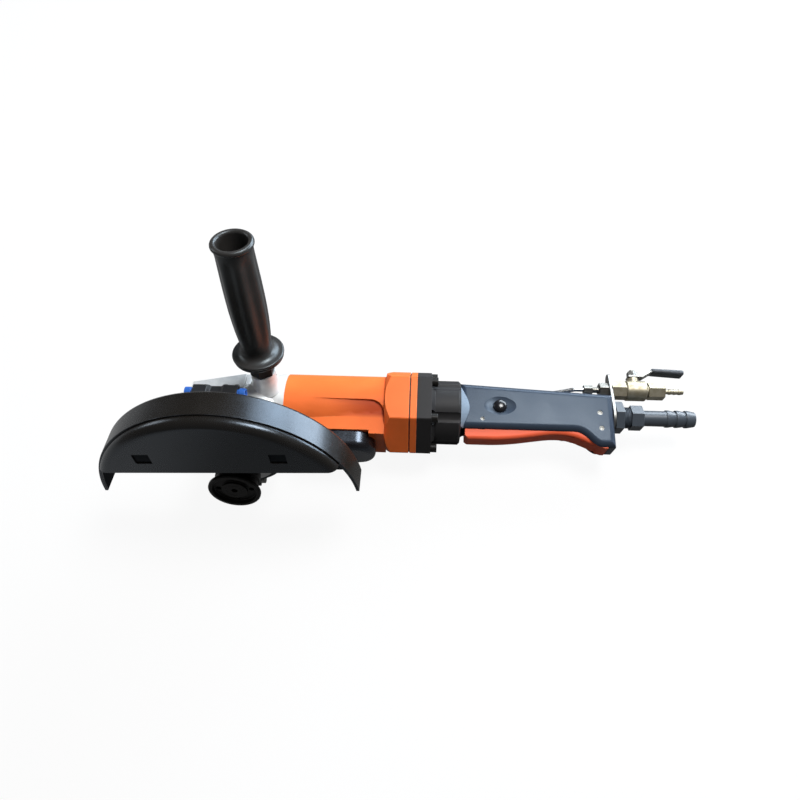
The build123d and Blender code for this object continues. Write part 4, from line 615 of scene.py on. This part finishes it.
EDGE_MM = {
    "gear_head": 0.2, "water_bracket": 0.5, "bearing_cap": 0.4, "cap_screws": 0.2, "wheel_flange": 0.3,
    "lock_nut": 0.4, "spindle": 0.3, "guard_shell": 0.35, "guard_clamp_band": 0.4, "guard_clamp_screw": 0.2,
    "handle_socket": 0.15, "bracket_screws": 0.3, "union_body": 0.5, "release_collar_front": 0.5,
    "release_collar_rear": 0.5, "water_elbow": 0.4, "motor_housing": 0.3, "end_cover": 0.5,
    "collar_screws": 0.3, "rear_bracket": 0.4, "inlet_bushing": 0.4, "hose_barb": 0.3, "pipe_nut": 0.3,
    "water_valve_body": 0.3, "valve_handle": 0.3, "handle_nut": 0.3, "water_barb": 0.2,
}
CLAMPED = ("guard_cover", "side_handle_stud", "bulkhead_fitting", "rear_collar")
CLAMPED_EDGE_MM = 0.4

for name, width in EDGE_MM.items():
    softened(name, width * MM)
for name in CLAMPED:
    softened(name, CLAMPED_EDGE_MM * MM, clamp=True)
print(len(EDGE_MM) + len(CLAMPED), "softened copies")

# %% [markdown]
# A few pieces are modelled anew from a plain shape, as one would by hand. Points and edges are picked
# by where they lie, and then moved or bevelled. Their numbers would change with every bevel, so a
# test of places is the safer way, and one helper does all the picking.

# %% Modelling helpers
def stretched_cube(name, low, high):
    """Cube that fills a box, with its place kept in the mesh."""
    bpy.ops.object.select_all(action="DESELECT")
    bpy.ops.mesh.primitive_cube_add(size=1, location=(low + high) / 2)
    piece = bpy.context.active_object
    piece.name = name
    piece.data.name = name
    piece.scale = high - low
    bpy.ops.object.transform_apply(location=True, rotation=True, scale=True)
    return piece


def pick(piece, kind, test):
    """Enters edit mode with just those vertices or edges picked whose points pass a test."""
    bpy.ops.object.mode_set(mode="EDIT")
    bpy.ops.mesh.select_mode(type=kind)
    bpy.ops.mesh.select_all(action="DESELECT")
    bpy.ops.object.mode_set(mode="OBJECT")
    points = piece.data.vertices
    if kind == "VERT":
        for point in points:
            point.select = test([point.co])
    else:
        for edge in piece.data.edges:
            edge.select = test([points[i].co for i in edge.vertices])
    bpy.ops.object.mode_set(mode="EDIT")


def stands_for(piece, name, angle):
    """Ends the modelling of a piece that takes the place of a node."""
    bpy.ops.object.mode_set(mode="OBJECT")
    only(piece)
    bpy.ops.object.shade_smooth_by_angle(angle=angle)
    dressed(piece, name)
    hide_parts(name)


print("modelling helpers ready")

# %% [markdown]
# The hollow round the lock button is shallow and runs out softly, so the copy of the grip gets it
# pressed up. The lever is a bent strip with well rounded edges. Both solids have the right shape
# otherwise, so copies of them are worked on in place of new pieces.

# %% Grip and lever
HOLLOW_SHARE = 0.6
HOLLOW_HALF_MM = (17.2, 10.8)
HOLLOW_DEPTH_MM = 3.4
BUTTON_PROUD_MM = 2.6
GRIP_EDGE_MM = 0.25
LEVER_EDGE_MM = 0.6
LEVER_ROUND_MM = 4.0
LEVER_SEGMENTS = 6
LEVER_OUTER_Y_MM = -23.9
LEVER_ENDS_MM = (1.0, 12.0)

grip_top = button_high.z - BUTTON_PROUD_MM * MM


def shallower_hollow(piece):
    def in_hollow(at):
        aside = at[0] - button_centre
        depth = grip_top - at[0].z
        near_button = abs(aside.x) < HOLLOW_HALF_MM[0] * MM and abs(aside.y) < HOLLOW_HALF_MM[1] * MM
        return near_button and NEAR < depth < HOLLOW_DEPTH_MM * MM

    pick(piece, "VERT", in_hollow)
    bpy.ops.transform.resize(value=(1, 1, HOLLOW_SHARE), center_override=(0, 0, grip_top))
    bpy.ops.object.mode_set(mode="OBJECT")


def rounder_lever(piece):
    low, high = (Vector(c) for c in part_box("throttle_lever"))
    start, end = low.x + LEVER_ENDS_MM[0] * MM, high.x - LEVER_ENDS_MM[1] * MM

    def outer_edge(at):
        at_level = any(all(abs(p.z - level) < NEAR for p in at) for level in (low.z, high.z))
        return at_level and all(p.y < LEVER_OUTER_Y_MM * MM and start < p.x < end for p in at)

    pick(piece, "EDGE", outer_edge)
    width = LEVER_ROUND_MM * MM
    bpy.ops.mesh.bevel(offset=width, segments=LEVER_SEGMENTS, affect="EDGES", clamp_overlap=False)
    bpy.ops.object.mode_set(mode="OBJECT")


softened("grip", GRIP_EDGE_MM * MM, shaping=shallower_hollow)
softened("throttle_lever", LEVER_EDGE_MM * MM, shaping=rounder_lever)
print("grip top at", round(grip_top, 4))

# %% [markdown]
# The exhaust hood is a glossy moulding whose top falls away to the rear in a long round. A cube fills
# the solid's box, its two rear corners get that long round first, and then the rim of the outer face
# gets a smaller one. In this order the small round runs along the long one without a break.

# %% Exhaust hood
HOOD_FALL_MM = 20.0
HOOD_FALL_SEGMENTS = 12
HOOD_ROUND_MM = 8.0
HOOD_ROUND_SEGMENTS = 7
MOULD_SHARP = radians(60)

low, high = (Vector(c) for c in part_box("exhaust_hood"))
hood = stretched_cube("exhaust_hood_moulding", low, high)
pick(hood, "EDGE", lambda at: all(p.x > high.x - NEAR for p in at) and abs(at[0].z - at[1].z) < NEAR)
fall, edge_round = HOOD_FALL_MM * MM, HOOD_ROUND_MM * MM
bpy.ops.mesh.bevel(offset=fall, segments=HOOD_FALL_SEGMENTS, affect="EDGES", clamp_overlap=True)
pick(hood, "EDGE", lambda at: all(p.y < low.y + NEAR for p in at))
bpy.ops.mesh.bevel(offset=edge_round, segments=HOOD_ROUND_SEGMENTS, affect="EDGES", clamp_overlap=True)
stands_for(hood, "exhaust_hood", MOULD_SHARP)
print("hood with", len(hood.data.polygons), "faces")

# %% [markdown]
# The sleeve of the water valve's lever is dipped vinyl. It is thin where the strip enters it,
# thickens towards its end and is soft all round. Two ends of a cube are moved for the taper, and then
# all of its edges are bevelled, since a dipped skin has no sharp one.

# %% Sleeve of the water valve's lever
SLEEVE_THIN_MM = 2.2
SLEEVE_FALL_MM = 1.2
SLEEVE_ROUND_MM = 2.2
SLEEVE_SEGMENTS = 5

low, high = (Vector(c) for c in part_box("handle_sleeve"))
sleeve = stretched_cube("handle_sleeve_dipped", low, high)
pick(sleeve, "VERT", lambda at: at[0].x < low.x + NEAR and at[0].y < low.y + NEAR)
bpy.ops.transform.translate(value=(0, SLEEVE_THIN_MM * MM, 0))
pick(sleeve, "VERT", lambda at: at[0].x > high.x - NEAR and at[0].y > high.y - NEAR)
bpy.ops.transform.translate(value=(0, -SLEEVE_FALL_MM * MM, 0))
pick(sleeve, "EDGE", lambda at: True)
width = SLEEVE_ROUND_MM * MM
bpy.ops.mesh.bevel(offset=width, segments=SLEEVE_SEGMENTS, affect="EDGES", clamp_overlap=True)
stands_for(sleeve, "handle_sleeve", MOULD_SHARP)
print("sleeve with", len(sleeve.data.polygons), "faces")

# %% [markdown]
# Round pieces are turned: an outline beside the axis is spun once round. An outline that starts and
# ends on the axis stays open there, so no faces lie along the axis. Stacked cylinders could do it too,
# but they would leave walls inside, where a spun outline is one closed skin.

# %% Turned pieces
ROUND_STEPS = 64


def turned_piece(name, outline, steps=ROUND_STEPS):
    """Solid of revolution about Z from (height, radius) points in metres."""
    bpy.ops.object.select_all(action="DESELECT")
    bpy.ops.mesh.primitive_circle_add(vertices=len(outline), radius=1.0)
    piece = bpy.context.active_object
    piece.name = name
    piece.data.name = name
    for point, (height, radius) in zip(piece.data.vertices, outline):
        point.co = (radius, 0, height)
    pick(piece, "EDGE", lambda at: all(p.x == 0 for p in at))
    bpy.ops.mesh.delete(type="EDGE")
    bpy.ops.mesh.select_all(action="SELECT")
    bpy.ops.mesh.spin(steps=steps, angle=2 * pi, center=(0, 0, 0), axis=(0, 0, 1))
    bpy.ops.mesh.select_all(action="SELECT")
    bpy.ops.mesh.remove_doubles(threshold=MERGE)
    bpy.ops.mesh.normals_make_consistent(inside=False)
    bpy.ops.object.mode_set(mode="OBJECT")
    return piece


def stood(piece, foot, axis, forward):
    """Moves a piece that was made upright at the origin so that it stands at a foot along an axis."""
    only(piece)
    turn = Matrix((forward, axis.cross(forward), axis)).transposed().to_4x4()
    piece.matrix_world = Matrix.Translation(foot) @ turn
    bpy.ops.object.transform_apply(location=True, rotation=True, scale=True)


def arc(centre, radius, start, end, count):
    """Points on an arc of (height, radius) in millimetres; the angle is 0 at the largest radius."""
    angles = [radians(start + (end - start) * i / count) for i in range(count + 1)]
    return [(centre[0] + radius * sin(a), centre[1] + radius * cos(a)) for a in angles]


print("lathe ready")

# %% [markdown]
# The side handle is a glossy moulding: a round flange, a slim waist, a belly with seven soft flutes
# and a rolled lip round a deep hole. It is turned first. Then the points of each flute are drawn
# towards the axis, most at the middle of the flute and fading out at its ends, which leaves soft
# ridges between the flutes.

# %% Side handle
HANDLE_OFFSET_MM = 18.0
FLUTES = 7
STEPS_PER_FLUTE = 12
FLUTE_START = radians(-8)
FLUTE_DEPTH_MM = 1.9
BELLY_SKIN_MM = 0.1
NEAR_ANGLE = 1e-3

# Outline as heights above the spindle's axis and radii, in millimetres
FOOT = [(96, 0), (96, 7.1), (80, 7.1), (80, 22.6)]
WAIST = [(86.4, 21.6), (86.9, 19.6), (88.0, 17.4), (89.8, 15.5), (92.5, 14.4)]
BELLY = [
    (96, 14.6), (102, 15.6), (108, 16.4), (116, 17.2), (126, 17.8), (138, 18.2), (150, 18.3), (162, 18.2),
    (174, 18.0), (184, 17.75), (192, 17.55), (198, 17.4), (202, 17.3), (206, 17.25), (210, 17.2),
]
GROOVE = [(83.0, 23.9)]
HOLE = [(152, 13.5), (152, 0)]
# How much of a flute's depth is left at a height, where it isn't all of it
FADES = {96: 0.0, 102: 0.2, 108: 0.5, 116: 0.8, 198: 0.95, 202: 0.7, 206: 0.25, 210: 0.0}

lower_bead = arc(centre=(81.5, 23.2), radius=1.5, start=-80, end=50, count=6)
upper_bead = arc(centre=(84.9, 23.8), radius=1.7, start=-50, end=85, count=7)
lip = arc(centre=(213.25, 16.25), radius=2.7, start=-70, end=180, count=14)
outline = FOOT + lower_bead + GROOVE + upper_bead + WAIST + BELLY + lip + HOLE
spun = [(height * MM, radius * MM) for height, radius in outline]
handle = turned_piece("side_handle_moulding", spun, FLUTES * STEPS_PER_FLUTE)
flute_angle = 2 * pi / FLUTES


def in_flute(point, height, belly_r, across):
    """Whether a point lies on the belly at a height, and at an angle from the middle of a flute."""
    if abs(point.z - height * MM) > NEAR or Vector(point.xy).length < (belly_r - BELLY_SKIN_MM) * MM:
        return False
    turned = atan2(point.y, point.x) / flute_angle
    return abs(abs(turned - round(turned)) * flute_angle - across) < NEAR_ANGLE


for height, belly_r in BELLY:
    fade = FADES.get(height, 1.0)
    if fade == 0.0:
        continue
    for k in range(STEPS_PER_FLUTE // 2):
        across = k * flute_angle / STEPS_PER_FLUTE
        pick(handle, "VERT", lambda at: in_flute(at[0], height, belly_r, across))
        share = 1 - fade * FLUTE_DEPTH_MM * cos(pi * k / STEPS_PER_FLUTE) ** 2 / belly_r
        bpy.ops.transform.resize(value=(share, share, 1), center_override=(0, 0, 0))
bpy.ops.object.mode_set(mode="OBJECT")
outward = TO_NUT * cos(FLUTE_START) + ALONG * sin(FLUTE_START)
stood(handle, HEAD_CENTRE + ALONG * HANDLE_OFFSET_MM * MM, TO_HANDLE, outward)
stands_for(handle, "side_handle_grip", MOULD_SHARP)
print("handle with", len(handle.data.polygons), "faces")

# %% [markdown]
# The lock button has a domed head. The pins through the grip are drilled at their ends, so they show
# a dark middle inside a bright ring. All of them stand along Z and are turned.

# %% Lock button and pins
DOME_STEPS = 8
PIN_STEPS = 32
PIN_DRILL_MM = 1.4
PIN_CONE_SHARE = 0.8
PIN_HOLE_SHARE = 0.6
PIN_RIM_SHARE = 0.8
PIN_SHARP = radians(40)
PINS = ("pivot_pin", "stop_pin", "tail_dowel")


def upright(name, node, outline, foot):
    """Turned piece along Z that stands for a node."""
    piece = turned_piece(name, outline, PIN_STEPS)
    stood(piece, foot, UPWARD, ALONG)
    stands_for(piece, node, PIN_SHARP)


button_r = (button_high.x - button_low.x) / 2
button_l = button_high.z - button_low.z
proud = BUTTON_PROUD_MM * MM
neck = button_l - proud
outline = [(0, 0), (0, button_r)]
for i in range(DOME_STEPS):
    rise = radians(90 * i / DOME_STEPS)
    outline.append((neck + proud * sin(rise), button_r * cos(rise)))
outline.append((button_l, 0))
upright("lock_button_dome", "lock_button", outline, Vector((button_centre.x, button_centre.y, button_low.z)))
drill = PIN_DRILL_MM * MM
for name in PINS:
    low, high = (Vector(c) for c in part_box(name))
    pin_r = (high.x - low.x) / 2
    pin_l = high.z - low.z
    outline = [(drill, 0), (drill * PIN_CONE_SHARE, pin_r * PIN_HOLE_SHARE)]
    outline += [(0, pin_r * PIN_RIM_SHARE), (0, pin_r)]
    outline += [(pin_l - height, radius) for height, radius in reversed(outline)]
    middle = (low + high) / 2
    upright(name + "_drilled", name, outline, Vector((middle.x, middle.y, low.z)))
print("button and", len(PINS), "pins")

# %% [markdown]
# Pipe threads show between the hexagons of the air inlet. A zigzag outline spun round the pipe reads
# as a thread at this size, and costs far fewer faces than a helix.

# %% Pipe threads
INLET_HEX_MM = 8.5
THREAD_ROOT_MM = 10.4
THREAD_CREST_MM = 11.3
THREAD_SKIN_MM = 1.0
THREAD_TURNS = 6

inlet_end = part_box("hose_barb")[0][0]
inlet_hex_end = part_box("rear_bracket")[1][0] + INLET_HEX_MM * MM
length = inlet_end - inlet_hex_end
pitch = length / THREAD_TURNS
inner = (THREAD_ROOT_MM - THREAD_SKIN_MM) * MM
outline = [(0, inner), (length, inner)]
for i in range(THREAD_TURNS, 0, -1):
    outline.append((i * pitch, THREAD_ROOT_MM * MM))
    outline.append(((i - 0.5) * pitch, THREAD_CREST_MM * MM))
outline.append((0, THREAD_ROOT_MM * MM))
ridges = turned_piece("inlet_thread", outline)
stood(ridges, Vector((inlet_hex_end, 0, AXIS_Z)), ALONG, TO_HANDLE)
bpy.ops.object.shade_smooth_by_angle(angle=PIN_SHARP)
dressed(ridges, "inlet_bushing")
print("thread between", round(inlet_hex_end, 4), "and", round(inlet_end, 4))

# %% [markdown]
# The tool lies on white paper. A plain white plane would throw so much light back that the undersides
# of the tool turn grey. A Light Path node tells the kinds of ray apart, so the floor can be white for
# the camera, dimmer in reflections and dark for the light that it throws back. Its left end is
# brighter in reflections than the rest, which gives a sheen to what faces that way.

# %% Floor
FLOOR_SIZE = 6.0
FLOOR_GLOW = 0.92
FLOOR_GLOSS = 0.11
FLOOR_GLOSS_LEFT = 0.36
LEFT_FROM_X = -0.22
LEFT_FULL_X = -0.32
FLOOR_GREY = 0.09
FLOOR_WHITE = 0.95


def grey(level):
    return tone((level,) * 3)


only(camera)
bpy.ops.mesh.primitive_plane_add(size=FLOOR_SIZE, location=(0, 0, solid_box[0].z))
floor = bpy.context.active_object
floor.name = "floor"
paper = Finish("floor_white")
shown = paper.background_rays()
glossy = paper.node("LightPath", output="Is Glossy Ray")
paper.set(
    base_color=paper.mix(shown, grey(FLOOR_GREY), grey(FLOOR_WHITE)),
    roughness=1.0,
    specular_ior_level=0.0,
)
leftward = paper.ramp(paper.dot(paper.place, ALONG), LEFT_FROM_X, LEFT_FULL_X)
mirrored = paper.mix(leftward, grey(FLOOR_GLOSS), grey(FLOOR_GLOSS_LEFT))
glow = paper.node("Emission", None, {"Color": paper.mix(glossy, WHITE, mirrored), "Strength": 1.0})
lit = Value(paper, paper.surface.outputs[0])
ending = next(n for n in paper.tree.nodes if n.type == "OUTPUT_MATERIAL")
paper.put(ending.inputs["Surface"], paper.node("MixShader", None, {0: shown * FLOOR_GLOW, 1: lit, 2: glow}))
floor.data.materials.append(paper.material)
print("floor at", round(solid_box[0].z, 4))

# %% [markdown]
# The light is a plain studio. A box of soft light hangs over the tool, a window-like lamp stands
# behind it and draws the sheen along the guard, another stands low on the right, and a weak one on
# the left edges the handle. They are area lamps, because black paint shows mostly what it mirrors,
# and a bright square in it reads as a window.

# %% Lamps
STAGE_CENTRE = Vector((0, 0, 0.06))


def soft_lamp(name, direction, distance, size, watts, colour=NEUTRAL):
    """Square area lamp that stands in a direction from the tool and faces it."""
    lamp = bpy.data.objects.new(name, bpy.data.lights.new(name, "AREA"))
    towards = Vector(direction).normalized()
    lamp.data.size = size
    lamp.data.energy = watts
    lamp.data.color = colour
    lamp.location = STAGE_CENTRE + towards * distance
    lamp.rotation_euler = (-towards).to_track_quat("-Z", "Y").to_euler()
    bpy.context.scene.collection.objects.link(lamp)
    print("lamp", name, "of", watts, "W")


soft_lamp("top_box", (0.28, 0.26, 0.92), distance=1.4, size=0.5, watts=18.0)
soft_lamp("window", (0.36, 0.84, 0.36), distance=1.5, size=0.8, watts=24.0, colour=(0.78, 0.89, 1.0))
soft_lamp("right_box", (0.78, 0.60, 0.16), distance=1.2, size=0.6, watts=15.0, colour=(0.82, 0.91, 1.0))
soft_lamp("left_edge", (-0.85, 0.30, 0.40), distance=1.4, size=0.4, watts=2.0)

# %% [markdown]
# The surround is white for the camera. A picture of a room could light the tool, but a plain world is
# easier to steer: it gives weak light all round, and reflections see it dark, a little less so on the
# camera's side.

# %% Surround
AMBIENT = 0.10
GLOSS_FAR = 0.06
GLOSS_NEAR = 0.10
CAMERA_SIDE = Vector((-0.10, -0.80, 0.60)).normalized()
SIDE_SPAN = (-0.3, 0.8)

world = bpy.data.worlds.new("surround")
bpy.context.scene.world = world
world.use_nodes = True
room = Shading(world.node_tree)
look = room.node("TexCoord", output="Generated")
gloss = room.node("LightPath", output="Is Glossy Ray")
shown = room.background_rays()
mirrored = room.ramp(room.dot(look, CAMERA_SIDE), *SIDE_SPAN, GLOSS_FAR, GLOSS_NEAR)
strength = room.ramp(shown, 0.0, 1.0, AMBIENT, 1.0) * (1 - gloss * (1 - mirrored))
background = next(n for n in world.node_tree.nodes if n.type == "BACKGROUND")
background.inputs["Color"].default_value = WHITE
room.put(background.inputs["Strength"], strength)
bpy.context.scene.view_settings.view_transform = "Standard"
print("studio ready")
